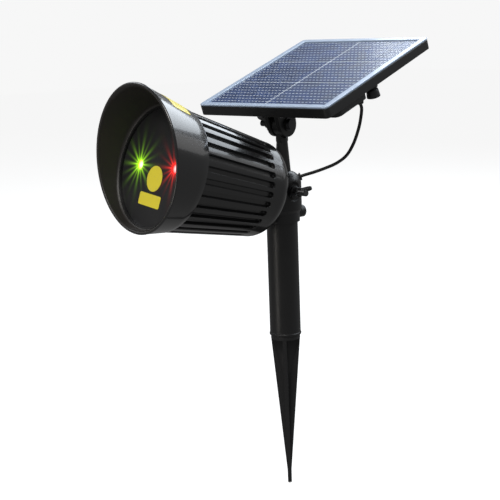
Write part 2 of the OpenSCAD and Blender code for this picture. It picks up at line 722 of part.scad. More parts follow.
module charge_board() color("#1f6b3a") in_panel()
    translate([box_x + box_w / 2, box_y + box_l / 2, box_low + 3])
        soft_plate(box_w - 4, box_l - 2 * box_screw_in - 8, 1.2, 1);

module charge_parts() color("#2a2a2c") in_panel()
    translate([box_x + box_w / 2, box_y + box_l / 2, box_low + 4.2]) {
        translate([-12, -8, 0]) cube([7, 7, 1.2]);
        translate([6, 2, 0]) cube([6, 4, 1.8]);
        translate([-6, 6, 0]) cylinder(h = 2, r = 2.4);
        // feet that carry the board on the floor of the box
        for (x = [-14, 14]) translate([x - 2, -3, -1.2 - 3 + box_wall]) cube([4, 6, 3 - box_wall]);
    }

module lead_gland() color("#161617") in_panel() translate([gland_x, gland_y, box_low]) {
    translate([0, 0, -gland_len]) cylinder(h = gland_len, r1 = gland_r - 0.6, r2 = gland_r);
    translate([0, 0, -eps]) cylinder(h = 3, r = gland_r - 1);
}

module switch_body() color("#1a1a1c") in_panel() translate([switch_x, switch_y, 0]) {
    translate([0, 0, under_z - 1.8]) cylinder(h = 1.8, r = switch_r);
    translate([0, 0, cap_low + 1.6 + switch_travel])
        cylinder(h = under_z - cap_low - 1.6 - switch_travel, r = 2);
}

module switch_cap() color("#161617") in_panel() translate([switch_x, switch_y, cap_low]) difference() {
    cylinder(h = under_z - 1.8 - switch_travel - 0.2 - cap_low, r1 = 5.6, r2 = 4.8);
    translate([0, 0, 1.6]) cylinder(h = 20, r = 2 + fit_gap);
}

// ---- Lead from the panel to the head ----

function turn_x(p, a) = [p[0], p[1] * cos(a) - p[2] * sin(a), p[1] * sin(a) + p[2] * cos(a)];
function turn_z(p, a) = [p[0] * cos(a) - p[1] * sin(a), p[0] * sin(a) + p[1] * cos(a), p[2]];
function unit(v) = v / norm(v);

// Free part of the lead, from below the gland to behind the head
lead_route = [[51.5, 42.5, 184], [50, 42, 174], [48, 40.5, 165], [45, 38.5, 156], [40.5, 35.5, 147.5],
    [34, 31, 141.5], [26.5, 26, 137.5], [17.5, 20.5, 133.8]];
gland_dir = turn_z(turn_x([0, 0, -1], panel_lean), panel_turn);
gland_end = turn_z(turn_x([gland_x, gland_y, box_low - gland_len], panel_lean), panel_turn)
    + [0, arm_y, hinge_z];
grommet_dir = turn_z([cos(grommet_rise), 0, sin(grommet_rise)], grommet_turn);
grommet_base = turn_z([head_r - head_fillet + sqrt(pow(head_fillet, 2) - pow(head_fillet - 5.5, 2)), 0,
    grommet_z], grommet_turn);
grommet_end = grommet_base + grommet_flange_t * grommet_dir;
lead_points = concat([gland_end], lead_route, [grommet_end]);
lead_last = len(lead_points) - 1;

// Direction of the lead at each point, scaled to the spacing of the points
function lead_slope(i) = i == 0 ? gland_dir * norm(lead_points[1] - lead_points[0])
    : i == lead_last ? -grommet_dir * norm(lead_points[i] - lead_points[i - 1])
    : (lead_points[i + 1] - lead_points[i - 1]) / 2;
function hermite(a, b, m, n, t) = (2 * t * t * t - 3 * t * t + 1) * a + (t * t * t - 2 * t * t + t) * m
    + (3 * t * t - 2 * t * t * t) * b + (t * t * t - t * t) * n;
lead_steps = 2;
lead_path = concat([for (i = [0 : lead_last - 1], k = [0 : lead_steps - 1])
    hermite(lead_points[i], lead_points[i + 1], lead_slope(i), lead_slope(i + 1), k / lead_steps)],
    [grommet_end]);
path_last = len(lead_path) - 1;
function path_dir(i) = i == 0 ? gland_dir : i == path_last ? -grommet_dir
    : unit(lead_path[i + 1] - lead_path[i - 1]);
// Sideways direction carried along the path without twist
function side_list(i, side) = i > path_last ? []
    : let (flat = side - (side * path_dir(i)) * path_dir(i), s = unit(flat))
        concat([s], side_list(i + 1, s));
lead_sides = 8;

module lead_wire() color("#121213") {
    sides = side_list(0, [1, 0, 0]);
    rings = [for (i = [0 : path_last]) let (u = sides[i], v = cross(path_dir(i), u))
        for (k = [0 : lead_sides - 1]) let (a = 360 * k / lead_sides)
            lead_path[i] + lead_r * (cos(a) * u + sin(a) * v)];
    walls = [for (i = [0 : path_last - 1], k = [0 : lead_sides - 1])
        let (a = i * lead_sides + k, b = i * lead_sides + (k + 1) % lead_sides)
            [a, a + lead_sides, b + lead_sides, b]];
    ends = [[for (k = [0 : lead_sides - 1]) k],
        [for (k = [lead_sides - 1 : -1 : 0]) path_last * lead_sides + k]];
    polyhedron(points = rings, faces = concat(walls, ends));
}

post_tube();
ground_spike();
head_yoke();
tilt_bolt();
tilt_washers();
tilt_wing_nut();
lock_knob();
panel_arm();
arm_set_screw();
lead_grommet();
finned_housing();
hood();
plate_seal();
front_plate();
retaining_ring();
green_window();
red_window();
green_grating();
red_grating();
green_module();
red_module();
laser_block();
laser_screws();
board_spacers();
driver_board();
board_parts();
board_screws();
battery_cell();
battery_cradle();
cradle_screws();
tilt_lug();
lug_screws();
plate_patch_round();
plate_patch_strip();
hood_patch();
hinge_clevis();
clevis_screws();
panel_pivot_bolt();
panel_pivot_washers();
panel_wing_nut();
panel_tray();
back_cover();
cover_screws();
backsheet();
solar_cells();
cell_ribbons();
cover_glass();
bezel();
control_box();
box_screws();
charge_board();
charge_parts();
lead_gland();
switch_body();
switch_cap();
lead_wire();
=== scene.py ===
"""Garden light projector on a ground stake, with a tilting lamp and a small solar panel."""

import json
import math

import bmesh
import bpy
from mathutils import Matrix, Vector


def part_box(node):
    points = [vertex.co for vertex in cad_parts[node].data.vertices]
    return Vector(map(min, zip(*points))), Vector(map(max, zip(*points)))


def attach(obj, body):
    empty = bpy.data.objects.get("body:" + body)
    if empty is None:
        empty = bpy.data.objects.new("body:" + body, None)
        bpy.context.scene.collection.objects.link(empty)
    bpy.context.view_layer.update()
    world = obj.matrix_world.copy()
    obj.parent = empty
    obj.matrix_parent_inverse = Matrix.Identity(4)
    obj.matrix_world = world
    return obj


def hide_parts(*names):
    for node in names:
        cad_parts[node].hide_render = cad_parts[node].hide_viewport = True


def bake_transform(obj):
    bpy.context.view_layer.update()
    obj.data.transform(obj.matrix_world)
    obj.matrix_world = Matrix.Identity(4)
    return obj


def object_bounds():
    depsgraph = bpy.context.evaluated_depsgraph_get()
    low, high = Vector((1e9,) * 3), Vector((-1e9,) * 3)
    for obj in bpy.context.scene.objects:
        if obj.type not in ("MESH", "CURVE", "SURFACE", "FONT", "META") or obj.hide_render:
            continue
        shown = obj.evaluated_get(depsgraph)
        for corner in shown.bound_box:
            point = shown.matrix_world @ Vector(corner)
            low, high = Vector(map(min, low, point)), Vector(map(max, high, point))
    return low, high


bl_info = {
    "name": "Light projector stake",
    "version": (1, 0, 0),
    "blender": (4, 5, 0),
    "location": "View3D > Sidebar > Projector",
    "description": "Builds a garden light projector piece by piece on its packed frame",
    "category": "Object",
}

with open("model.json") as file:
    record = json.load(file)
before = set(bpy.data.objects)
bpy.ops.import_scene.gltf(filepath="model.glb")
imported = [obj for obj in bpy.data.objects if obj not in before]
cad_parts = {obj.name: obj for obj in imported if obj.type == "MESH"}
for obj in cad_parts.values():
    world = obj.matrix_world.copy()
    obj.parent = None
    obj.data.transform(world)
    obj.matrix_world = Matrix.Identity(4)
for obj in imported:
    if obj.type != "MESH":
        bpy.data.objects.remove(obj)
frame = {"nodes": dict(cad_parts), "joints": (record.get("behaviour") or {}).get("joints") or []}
CAD_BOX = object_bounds()
MM = 0.001
WELD = 0.000004

JOINTS = {joint["name"]: joint for joint in frame["joints"]}
TILT_PIVOT = Vector(JOINTS["lamp_tilt"]["pos_m"])
PANEL_HUB = Vector(JOINTS["panel_tilt"]["pos_m"])
POST_LOW, POST_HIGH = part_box("post_tube")
POST_R = (POST_HIGH.x - POST_LOW.x) / 2
YOKE_LOW, YOKE_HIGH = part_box("head_yoke")
HEAD_R = (YOKE_HIGH.x - YOKE_LOW.x) / 2

# The lamp's own axes: z forward along its beam, y up, from a point 4 mm below the tilt bolt
BEAM_PITCH = math.radians(16)
LAMP_DROP = 4 * MM
LAMP_PIVOT_Y = LAMP_DROP * math.cos(BEAM_PITCH)
LAMP_PIVOT_Z = LAMP_DROP * math.sin(BEAM_PITCH)
REAR_Z = HEAD_R + 4 * MM
SHOULDER_Z = REAR_Z + 12 * MM
SEAM_Z = REAR_Z + 92 * MM
COLLAR_END = SEAM_Z + 9.1 * MM
PLATE_Z = COLLAR_END + 0.8 * MM
PLATE_FRONT = PLATE_Z + 2.5 * MM
RING_FRONT = PLATE_FRONT + 2.1 * MM
APERTURE_Y = 1 * MM
APERTURE_R = 4 * MM

# The panel's own axes: x along its hinge, y to its back edge, z out of its face
UNDER_Z = 14.5 * MM
LEDGE_Z = 16.5 * MM
GLASS_Z = 20 * MM
BEZEL_Z = 22.4 * MM
PANEL_TOP = 24 * MM
CELL_Z = 22.75 * MM
CORNER_R = 4 * MM

# The floor and the sky look nearly white, but they give the object only a little light
FLOOR_GLOW = 0.86
FLOOR_GREY = 0.30
SKY_SEEN = 0.93
SKY_LIGHT = 0.20


def size_value(name, description, millimetres):
    return bpy.props.FloatProperty(name=name, description=description, default=millimetres * MM,
                                   unit="LENGTH", precision=4)


def angle_value(name, description, radians):
    return bpy.props.FloatProperty(name=name, description=description, default=radians, unit="ROTATION")


def colour_value(name, description, *channels):
    return bpy.props.FloatVectorProperty(name=name, description=description, default=channels,
                                         subtype="COLOR")


class LampSizes(bpy.types.PropertyGroup):
    """Sizes of the lamp."""
    pitch: angle_value("Pitch", "Angle of the beam above level", BEAM_PITCH)
    housing_r: size_value("Housing radius", "Radius at the hood seam", 47.3)
    rear_r: size_value("Rear radius", "Radius at the rear shoulder", 38.6)
    ribs: bpy.props.IntProperty(name="Ribs", description="Cooling ribs round the housing", default=32)
    groove_w: size_value("Groove width", "Space between two ribs", 4.2)
    groove_d: size_value("Groove depth", "Depth between two ribs", 3)
    hood_top: size_value("Hood top", "Length of the hood's upper side", 45.9)
    hood_low: size_value("Hood bottom", "Length of the hood's lower side", 19)
    hood_wall: size_value("Hood wall", "Thickness of the hood", 2.6)
    hood_flare: bpy.props.FloatProperty(name="Hood flare", description="Growth of radius per length",
                                        default=0.218)
    aperture_x: size_value("Aperture place", "Aperture from the axis", 23)


class PanelSizes(bpy.types.PropertyGroup):
    """Sizes of the solar panel and its lead."""
    lean: angle_value("Lean", "Forward lean of the panel", math.radians(19))
    turn: angle_value("Turn", "Turn of the panel on the head", math.radians(10))
    width: size_value("Width", "Across the panel", 133)
    length: size_value("Length", "Front to back", 147)
    overhang: size_value("Overhang", "Front edge ahead of the hinge", 19.5)
    bezel_w: size_value("Bezel", "Width of the bright border", 5.6)
    lead_d: size_value("Lead", "Diameter of the lead", 2.6)


class ViewSizes(bpy.types.PropertyGroup):
    """Place of the camera."""
    azimuth: angle_value("Azimuth", "Angle round the object", math.radians(51.93))
    elevation: angle_value("Elevation", "Angle above the horizon", math.radians(10.59))
    roll: angle_value("Roll", "Lean of the camera", math.radians(-2.04))
    distance: size_value("Distance", "From the middle of the view", 1000)
    side: size_value("Side", "Middle of the view, along its width", -27)
    height: size_value("Height", "Middle of the view, above ground", 71.4)
    lens: bpy.props.FloatProperty(name="Lens", description="Focal length on a 36 mm frame",
                                  default=87.85)


class Finishes(bpy.types.PropertyGroup):
    """Colours of the finishes."""
    black: colour_value("Black plastic", "Moulded parts", 0.012, 0.012, 0.0125)
    inside: colour_value("Hood inside", "Inner side of the hood", 0.022, 0.019, 0.017)
    cell: colour_value("Cell", "Silicon of the solar cells", 0.008, 0.033, 0.130)
    # Pale blue-grey border colour: partly a painted reflection of a bright light.
    bezel: colour_value("Bezel", "Border of the panel", 0.42, 0.52, 0.68)
    patch: colour_value("Patch", "Plain film patches", 0.88, 0.74, 0.04)
    green: colour_value("Green light", "Left aperture", 0.42, 1.0, 0.02)
    red: colour_value("Red light", "Right aperture", 1.0, 0.02, 0.015)


def lamp():
    return bpy.context.scene.projector_lamp


def panel():
    return bpy.context.scene.projector_panel


def finishes():
    return bpy.context.scene.projector_finishes


def collar_radius():
    """Outer radius of the collar that the hood is pushed over."""
    return lamp().housing_r - 2.5 * MM


def hood_base():
    """Outer radius of the hood at its seam."""
    return lamp().housing_r + 0.3 * MM


def lamp_frame():
    """Matrix from the lamp's own axes to the object's."""
    turn = Matrix.Rotation(math.radians(90) - lamp().pitch, 4, "X")
    return (Matrix.Translation(TILT_PIVOT) @ turn
            @ Matrix.Translation((0, -LAMP_PIVOT_Y, -LAMP_PIVOT_Z)))


def panel_frame():
    """Matrix from the panel's own axes to the object's."""
    return (Matrix.Translation(PANEL_HUB) @ Matrix.Rotation(panel().turn, 4, "Z")
            @ Matrix.Rotation(panel().lean, 4, "X"))


# ---- Materials ----

class Wire:
    """A value in a material's tree, for use in plain arithmetic."""

    def __init__(self, shade, socket):
        self.shade = shade
        self.socket = socket

    def math(self, operation, *others, clamp=False):
        node = self.shade.add("ShaderNodeMath", operation=operation, use_clamp=clamp)
        for slot, value in zip(node.inputs, (self,) + others):
            self.shade.feed(slot, value)
        return Wire(self.shade, node.outputs[0])

    def flipped(self, operation, other):
        node = self.shade.add("ShaderNodeMath", operation=operation)
        self.shade.feed(node.inputs[0], other)
        self.shade.feed(node.inputs[1], self)
        return Wire(self.shade, node.outputs[0])

    def __add__(self, other):
        return self.math("ADD", other)

    def __radd__(self, other):
        return self.flipped("ADD", other)

    def __sub__(self, other):
        return self.math("SUBTRACT", other)

    def __mul__(self, other):
        return self.math("MULTIPLY", other)

    def __truediv__(self, other):
        return self.math("DIVIDE", other)

    def __pow__(self, other):
        return self.math("POWER", other)

    def __neg__(self):
        return self.flipped("SUBTRACT", 0.0)

    def __abs__(self):
        return self.math("ABSOLUTE")

    def below(self, edge):
        return self.math("LESS_THAN", edge)

    def fraction(self):
        return self.math("FRACT")

    def clamped(self):
        return self.math("ADD", 0.0, clamp=True)

    def ramp(self, low, high):
        """0 at low and 1 at high, with soft ends."""
        node = self.shade.add("ShaderNodeMapRange", interpolation_type="SMOOTHSTEP")
        self.shade.feed(node.inputs["Value"], self)
        self.shade.feed(node.inputs["From Min"], low)
        self.shade.feed(node.inputs["From Max"], high)
        return Wire(self.shade, node.outputs["Result"])


class Shade:
    """A procedural material on the Principled shader."""

    def __init__(self, name, **constants):
        self.material = bpy.data.materials.new(name)
        self.material.use_nodes = True
        self.tree = self.material.node_tree
        self.tree.nodes.clear()
        self.surface = self.add("ShaderNodeBsdfPrincipled")
        self.end = self.add("ShaderNodeOutputMaterial")
        self.tree.links.new(self.surface.outputs[0], self.end.inputs["Surface"])
        for key, value in constants.items():
            self.surface.inputs[key.replace("_", " ")].default_value = value
        self.object_place = None

    def add(self, kind, inputs=None, **settings):
        node = self.tree.nodes.new(kind)
        for key, value in settings.items():
            setattr(node, key, value)
        for key, value in (inputs or {}).items():
            self.feed(node.inputs[key], value)
        return node

    def feed(self, socket, value):
        if isinstance(value, Wire):
            self.tree.links.new(value.socket, socket)
        else:
            socket.default_value = value

    def take(self, kind, inputs=None, out=0, **settings):
        """One output of a new node."""
        return Wire(self, self.add(kind, inputs, **settings).outputs[out])

    def put(self, name, value):
        self.feed(self.surface.inputs[name], value)

    def place(self):
        if self.object_place is None:
            self.object_place = self.take("ShaderNodeTexCoord", out="Object")
        return self.object_place

    def noise(self, scale, detail=3.0, stretch=None):
        place = self.place()
        if stretch:
            place = self.take("ShaderNodeVectorMath", {0: place, 1: stretch}, operation="MULTIPLY")
        return self.take("ShaderNodeTexNoise", {"Vector": place, "Scale": scale, "Detail": detail})

    def colours(self, factor, first, second):
        node = self.add("ShaderNodeMix", data_type="RGBA")
        self.feed(node.inputs[0], factor)
        for slot, value in ((6, first), (7, second)):
            if not isinstance(value, Wire):
                value = (*value[:3], 1.0)
            self.feed(node.inputs[slot], value)
        return Wire(self, node.outputs[2])

    def along(self, direction, origin=(0, 0, 0)):
        """Distance from origin along a direction."""
        moved = self.take("ShaderNodeVectorMath", {0: self.place(), 1: tuple(origin)},
                          operation="SUBTRACT")
        node = self.add("ShaderNodeVectorMath", {0: moved, 1: tuple(direction)},
                        operation="DOT_PRODUCT")
        return Wire(self, node.outputs["Value"])

    def bump(self, height, depth):
        """Raises the surface by height, which runs from 0 to 1, times depth in metres."""
        self.put("Normal", self.take("ShaderNodeBump", {"Height": height, "Distance": depth,
                                                        "Strength": 1.0}))


def plastic(name, colour, rough, grain=0.00004, grain_scale=2600.0, coat=0.0, dust=0.12, scratch=0.0):
    """Moulded plastic: fine grain, slow waves in its gloss, faint rubbing and a little dust."""
    shade = Shade(name, Coat_Weight=coat, Coat_Roughness=0.06, Specular_IOR_Level=0.5)
    cloud = shade.noise(38.0, 4.0)
    fine = shade.noise(grain_scale, 2.0)
    rubbed = shade.noise(260.0, 5.0, (1.0, 1.0, 0.12)).ramp(0.56, 0.74)
    lift = shade.noise(90.0, 6.0).ramp(0.55, 0.8) * dust
    pale = tuple(min(1.0, channel * 2.2 + 0.035) for channel in colour)
    shade.put("Base Color", shade.colours(lift, colour, pale))
    shade.put("Roughness", (rough + cloud * 0.10 - 0.05 + rubbed * scratch + fine * 0.04).clamped())
    shade.bump(fine * 0.5 + cloud * 0.5 + rubbed * scratch * 0.4, grain)
    return shade.material


def metal(name, colour, rough, thread=None):
    """Plated metal with a fine grain; thread is (direction, origin, pitch) of a screw thread."""
    shade = Shade(name, Metallic=1.0)
    grain = shade.noise(900.0, 4.0)
    stain = shade.noise(120.0, 5.0).ramp(0.5, 0.75)
    dark = tuple(channel * 0.55 for channel in colour)
    shade.put("Base Color", shade.colours(stain * 0.5, colour, dark))
    shade.put("Roughness", (rough + grain * 0.16 + stain * 0.18 - 0.08).clamped())
    height = grain * 0.1
    depth = 0.00003
    if thread:
        direction, origin, pitch = thread
        turns = (shade.along(direction, origin) / pitch).fraction()
        height = abs(turns - 0.5) * 2.0 + grain * 0.05
        depth = pitch * 0.45
    shade.bump(height, depth)
    return shade.material


def star(shade, x, y, start, reach):
    """Painted eight-pointed glint round a light aperture, drawn as emission on the plate."""
    distance = (x * x + y * y) ** 0.5
    angle = y.math("ARCTAN2", x)
    ray = abs((angle * 4.0).math("COSINE")) ** 14.0 + abs((angle * 4.0).math("SINE")) ** 24.0 * 0.5
    fade = ((distance - start) / reach).math("MAXIMUM", 0.0)
    halo = (-(fade * 1.6)).math("EXPONENT")
    spike = (-(fade * 0.55)).math("EXPONENT") * ray
    return halo * 0.5 + spike * 0.8


def plate_material():
    """Satin black front plate with painted light round its two apertures: a glow and star glints in its
    emission.
    """
    colours = finishes()
    shade = Shade("plate_black_painted_glints", Emission_Strength=1.5, Specular_IOR_Level=0.45)
    cloud = shade.noise(60.0, 4.0)
    fine = shade.noise(2400.0, 2.0)
    shade.put("Base Color", shade.colours(cloud.ramp(0.4, 0.8) * 0.5, (0.012, 0.012, 0.013),
                                          (0.022, 0.022, 0.023)))
    shade.put("Roughness", 0.42 + cloud * 0.12)
    shade.bump(fine, 0.00003)
    turn = lamp_frame()
    across = turn.to_3x3() @ Vector((1, 0, 0))
    upward = turn.to_3x3() @ Vector((0, 1, 0))
    # Painted light: the plate itself glows round each aperture, though only the windows are lamps.
    glow = None
    for side, colour in ((-1, colours.green), (1, colours.red)):
        middle = turn @ Vector((side * lamp().aperture_x, APERTURE_Y, PLATE_FRONT))
        light = star(shade, shade.along(across, middle), shade.along(upward, middle),
                     APERTURE_R, 2.6 * MM)
        part = shade.take("ShaderNodeVectorMath", {0: tuple(colour), "Scale": light},
                          operation="SCALE")
        if glow is None:
            glow = part
        else:
            glow = shade.take("ShaderNodeVectorMath", {0: glow, 1: part}, operation="ADD")
    shade.put("Emission Color", glow)
    return shade.material


def light_material(name, colour, strength, side):
    """Lit lens: nearly white at its middle and coloured towards its rim."""
    shade = Shade(name, Emission_Strength=strength, Roughness=0.1)
    turn = lamp_frame()
    middle = turn @ Vector((side * lamp().aperture_x, APERTURE_Y, PLATE_FRONT))
    x = shade.along(turn.to_3x3() @ Vector((1, 0, 0)), middle)
    y = shade.along(turn.to_3x3() @ Vector((0, 1, 0)), middle)
    core = ((x * x + y * y) ** 0.5).ramp(APERTURE_R, 0.5 * MM)
    pale = tuple(0.35 + 0.65 * channel for channel in colour)
    shade.put("Base Color", shade.colours(core, colour, pale))
    shade.put("Emission Color", shade.colours(core, colour, pale))
    return shade.material


def cell_material():
    """Polycrystalline silicon with fine silver fingers under a clear coat."""
    colours = finishes()
    shade = Shade("cell_blue", Coat_Weight=0.2, Coat_Roughness=0.12, Specular_IOR_Level=0.4)
    crystals = shade.take("ShaderNodeTexVoronoi", {"Vector": shade.place(), "Scale": 150.0},
                          out="Color")
    tone = shade.take("ShaderNodeSeparateColor", {0: crystals})
    cloud = shade.noise(18.0, 3.0)
    deep = tuple(channel * 0.45 for channel in colours.cell)
    bright = tuple(min(1.0, channel * 1.7 + 0.01) for channel in colours.cell)
    silicon = shade.colours(tone * 0.5 + cloud * 0.5, deep, bright)
    across = panel_frame().to_3x3() @ Vector((1, 0, 0))
    back = panel_frame().to_3x3() @ Vector((0, 1, 0))
    row_pitch, dash_pitch, finger_pitch = 5.56 * MM, 3.7 * MM, 1.85 * MM
    row = abs((shade.along(back, PANEL_HUB) / row_pitch).fraction() - 0.5).ramp(0.12, 0.07)
    dash = abs((shade.along(across, PANEL_HUB) / dash_pitch).fraction() - 0.5).ramp(0.34, 0.26)
    fingers = (shade.along(across, PANEL_HUB) / finger_pitch).fraction().below(0.12)
    silver = row * dash * 0.8 + fingers * 0.04
    shade.put("Base Color", shade.colours(silver, silicon, (0.72, 0.80, 0.90)))
    shade.put("Roughness", 0.28 + tone * 0.12)
    shade.put("Metallic", tone * 0.25)
    shade.bump(tone + silver * 0.3, 0.00002)
    return shade.material


def glass_material():
    """Clear cover over the cells."""
    shade = Shade("cover_glass_clear", Coat_Weight=0.3, Coat_Roughness=0.09, Specular_IOR_Level=0.25)
    smear = shade.noise(45.0, 4.0).ramp(0.5, 0.8)
    shade.put("Base Color", shade.colours(smear, (0.05, 0.09, 0.18), (0.22, 0.28, 0.40)))
    shade.put("Alpha", 0.05 + smear * 0.04)
    shade.put("Roughness", 0.12 + smear * 0.12)
    return shade.material


def bezel_material():
    """Satin silvery border with rubbed edges; its pale blue-grey colour is partly a painted reflection of
    a bright light.
    """
    shade = Shade("bezel_pale_painted_reflection", Metallic=0.1, Coat_Weight=0.5, Coat_Roughness=0.12)
    colour = tuple(finishes().bezel)
    cloud = shade.noise(70.0, 5.0)
    fine = shade.noise(1500.0, 3.0)
    soft = tuple(channel * 0.78 for channel in colour)
    shade.put("Base Color", shade.colours(cloud.ramp(0.35, 0.75) * 0.6, colour, soft))
    shade.put("Roughness", 0.26 + cloud * 0.18 + fine * 0.05)
    shade.bump(fine, 0.00003)
    return shade.material


def patch_material():
    """Plain yellow film, a little faded and scuffed."""
    shade = Shade("patch_yellow", Coat_Weight=0.3, Coat_Roughness=0.2)
    colour = tuple(finishes().patch)
    worn = shade.noise(300.0, 6.0).ramp(0.56, 0.74)
    faded = tuple(channel * 0.7 + 0.1 for channel in colour)
    shade.put("Base Color", shade.colours(worn * 0.7, colour, faded))
    shade.put("Roughness", 0.38 + worn * 0.25)
    shade.bump(worn, 0.00003)
    return shade.material


def simple_material(name, colour, rough, metallic=0.0):
    """Hidden inner pieces: coloured, with a mottled gloss."""
    shade = Shade(name, Metallic=metallic)
    mottle = shade.noise(220.0, 4.0)
    shade.put("Base Color", shade.colours(mottle.ramp(0.3, 0.8) * 0.5, colour,
                                          tuple(channel * 0.6 for channel in colour)))
    shade.put("Roughness", (rough + mottle * 0.2 - 0.1).clamped())
    shade.bump(mottle, 0.00005)
    return shade.material


class Palette:
    """Every finish, made once."""
    made = {}

    @classmethod
    def get(cls, name):
        if name not in cls.made:
            cls.made[name] = cls.recipes()[name]()
        return cls.made[name]

    @staticmethod
    def recipes():
        black = tuple(finishes().black)
        inside = tuple(finishes().inside)
        colours = finishes()
        axis = panel_frame().to_3x3() @ Vector((1, 0, 0))
        return {
            "gloss": lambda: plastic("gloss_black", black, 0.17, 0.00002, 900.0, coat=0.5, dust=0.04),
            "rib": lambda: plastic("rib_black", black, 0.22, 0.00002, 900.0, coat=0.45, dust=0.05),
            "inside": lambda: plastic("hood_inside", inside, 0.45, 0.00003, dust=0.08),
            "satin": lambda: plastic("satin_black", black, 0.36, 0.00004, dust=0.06, scratch=0.08),
            "matte": lambda: plastic("spike_black", (0.017, 0.017, 0.018), 0.52, 0.00009, 1500.0,
                                     scratch=0.12),
            "knob": lambda: plastic("knob_black", (0.015, 0.015, 0.016), 0.42, 0.00005, scratch=0.1),
            "rubber": lambda: plastic("lead_rubber", (0.016, 0.016, 0.016), 0.5, 0.00005, 1800.0),
            "zinc": lambda: metal("zinc_plate", (0.62, 0.63, 0.65), 0.3),
            "dark": lambda: metal("dark_washer", (0.10, 0.10, 0.105), 0.35),
            "bolt_x": lambda: metal("bolt_thread", (0.13, 0.13, 0.135), 0.32,
                                    thread=((1, 0, 0), TILT_PIVOT, 0.8 * MM)),
            "bolt_panel": lambda: metal("hinge_thread", (0.07, 0.07, 0.075), 0.34,
                                        thread=(axis, PANEL_HUB, 0.8 * MM)),
            "plate": plate_material,
            "green": lambda: light_material("green_light", tuple(colours.green), 2.2, -1),
            "red": lambda: light_material("red_light", tuple(colours.red), 2.0, 1),
            "cell": cell_material,
            "glass": glass_material,
            "bezel": bezel_material,
            "patch": patch_material,
            "sheet": lambda: simple_material("back_sheet", (0.72, 0.78, 0.86), 0.4),
            "board": lambda: simple_material("board_green", (0.02, 0.16, 0.06), 0.35),
            "chip": lambda: simple_material("chip_black", (0.02, 0.02, 0.022), 0.45),
            "brass": lambda: simple_material("turned_brass", (0.78, 0.56, 0.24), 0.28, 1.0),
            "alloy": lambda: simple_material("cast_alloy", (0.62, 0.64, 0.66), 0.38, 1.0),
            "wrap": lambda: simple_material("cell_wrap", (0.05, 0.22, 0.55), 0.32),
            "grate": lambda: simple_material("ruled_glass", (0.6, 0.64, 0.64), 0.12),
        }


def paint(name, *nodes):
    """Gives CAD nodes a finish."""
    for node in nodes:
        mesh = frame["nodes"][node].data
        mesh.materials.clear()
        mesh.materials.append(Palette.get(name))


# ---- Mesh work ----

def add_object(name, mesh, angle=32.0):
    """Links a mesh as an object at the origin, smooth but for sharp edges and large flat faces."""
    mesh.shade_smooth()
    mesh.set_sharp_from_angle(angle=math.radians(angle))
    large = 100 * MM ** 2
    flats = {key for face in mesh.polygons if face.area > large for key in face.edge_keys}
    for line in mesh.edges:
        if line.key in flats:
            line.use_edge_sharp = True
    piece = bpy.data.objects.new(name, mesh)
    bpy.context.scene.collection.objects.link(piece)
    return piece


def mesh_from(name, points, faces, place=None):
    """Mesh from points and faces, moved to its place, with outward normals."""
    if place is not None:
        points = [place @ Vector(point) for point in points]
    mesh = bpy.data.meshes.new(name)
    mesh.from_pydata([tuple(point) for point in points], [], faces)
    work = bmesh.new()
    work.from_mesh(mesh)
    bmesh.ops.remove_doubles(work, verts=work.verts, dist=WELD)
    bmesh.ops.recalc_face_normals(work, faces=work.faces)
    work.to_mesh(mesh)
    work.free()
    mesh.update()
    return mesh


def quads(rings, count, last_to_first=False, round_ring=True):
    """Faces between neighbouring rings of count points each."""
    faces = []
    for ring in range(rings if last_to_first else rings - 1):
        above = (ring + 1) % rings
        for k in range(count if round_ring else count - 1):
            after = (k + 1) % count
            faces.append((ring * count + k, ring * count + after,
                          above * count + after, above * count + k))
    return faces


def filleted(corners, radius, steps=5):
    """Closed outline with its corners rounded; radius is one number or one for each corner."""
    outline = []
    count = len(corners)
    radii = radius if isinstance(radius, (list, tuple)) else [radius] * count
    for index, corner in enumerate(corners):
        here = Vector(corner)
        before = Vector(corners[index - 1]) - here
        after = Vector(corners[(index + 1) % count]) - here
        half = before.angle(after) / 2
        reach = min(radii[index] / math.tan(half), before.length * 0.49, after.length * 0.49)
        if reach < 1e-7:
            outline.append(here)
            continue
        start = here + before.normalized() * reach
        end = here + after.normalized() * reach
        for step in range(steps + 1):
            t = step / steps
            outline.append(start.lerp(here, t).lerp(here.lerp(end, t), t))
    return outline


def turned(name, corners, radius, place, steps=96):
    """Closed ring turned about z from an outline of (radius, height)."""
    outline = filleted(corners, radius)
    points = []
    for step in range(steps):
        angle = 2 * math.pi * step / steps
        points += [(math.cos(angle) * p.x, math.sin(angle) * p.x, p.y) for p in outline]
    return mesh_from(name, points, quads(steps, len(outline), last_to_first=True), place)


def round_box_outline(width, length, radius, steps=8):
    """Outline of a rectangle with round corners, centred on the origin."""
    x, y = width / 2, length / 2
    return filleted([(-x, -y), (x, -y), (x, y), (-x, y)], radius, steps)


def scaled_outline(width, length, radius, inset, steps=8):
    return round_box_outline(width - 2 * inset, length - 2 * inset, max(radius - inset, 0.0004), steps)


def finely(outline, step):
    """The same outline with its long sides divided."""
    fine = []
    for index, here in enumerate(outline):
        other = outline[(index + 1) % len(outline)]
        parts = max(1, math.ceil((other - here).length / step))
        fine += [here.lerp(other, k / parts) for k in range(parts)]
    return fine


def slab(name, width, length, corner, low, high, edge, place):
    """Solid plate with round corners and round edges."""
    rings = [(low, edge), (low + edge * 0.3, edge * 0.3), (low + edge, 0.0),
             (high - edge, 0.0), (high - edge * 0.3, edge * 0.3), (high, edge)]
    points = []
    for height, inset in rings:
        points += [(p.x, p.y, height) for p in scaled_outline(width, length, corner, inset)]
    count = len(points) // len(rings)
    faces = quads(len(rings), count)
    faces.append(tuple(range(count)))
    faces.append(tuple((len(rings) - 1) * count + step for step in range(count)))
    return mesh_from(name, points, faces, place)


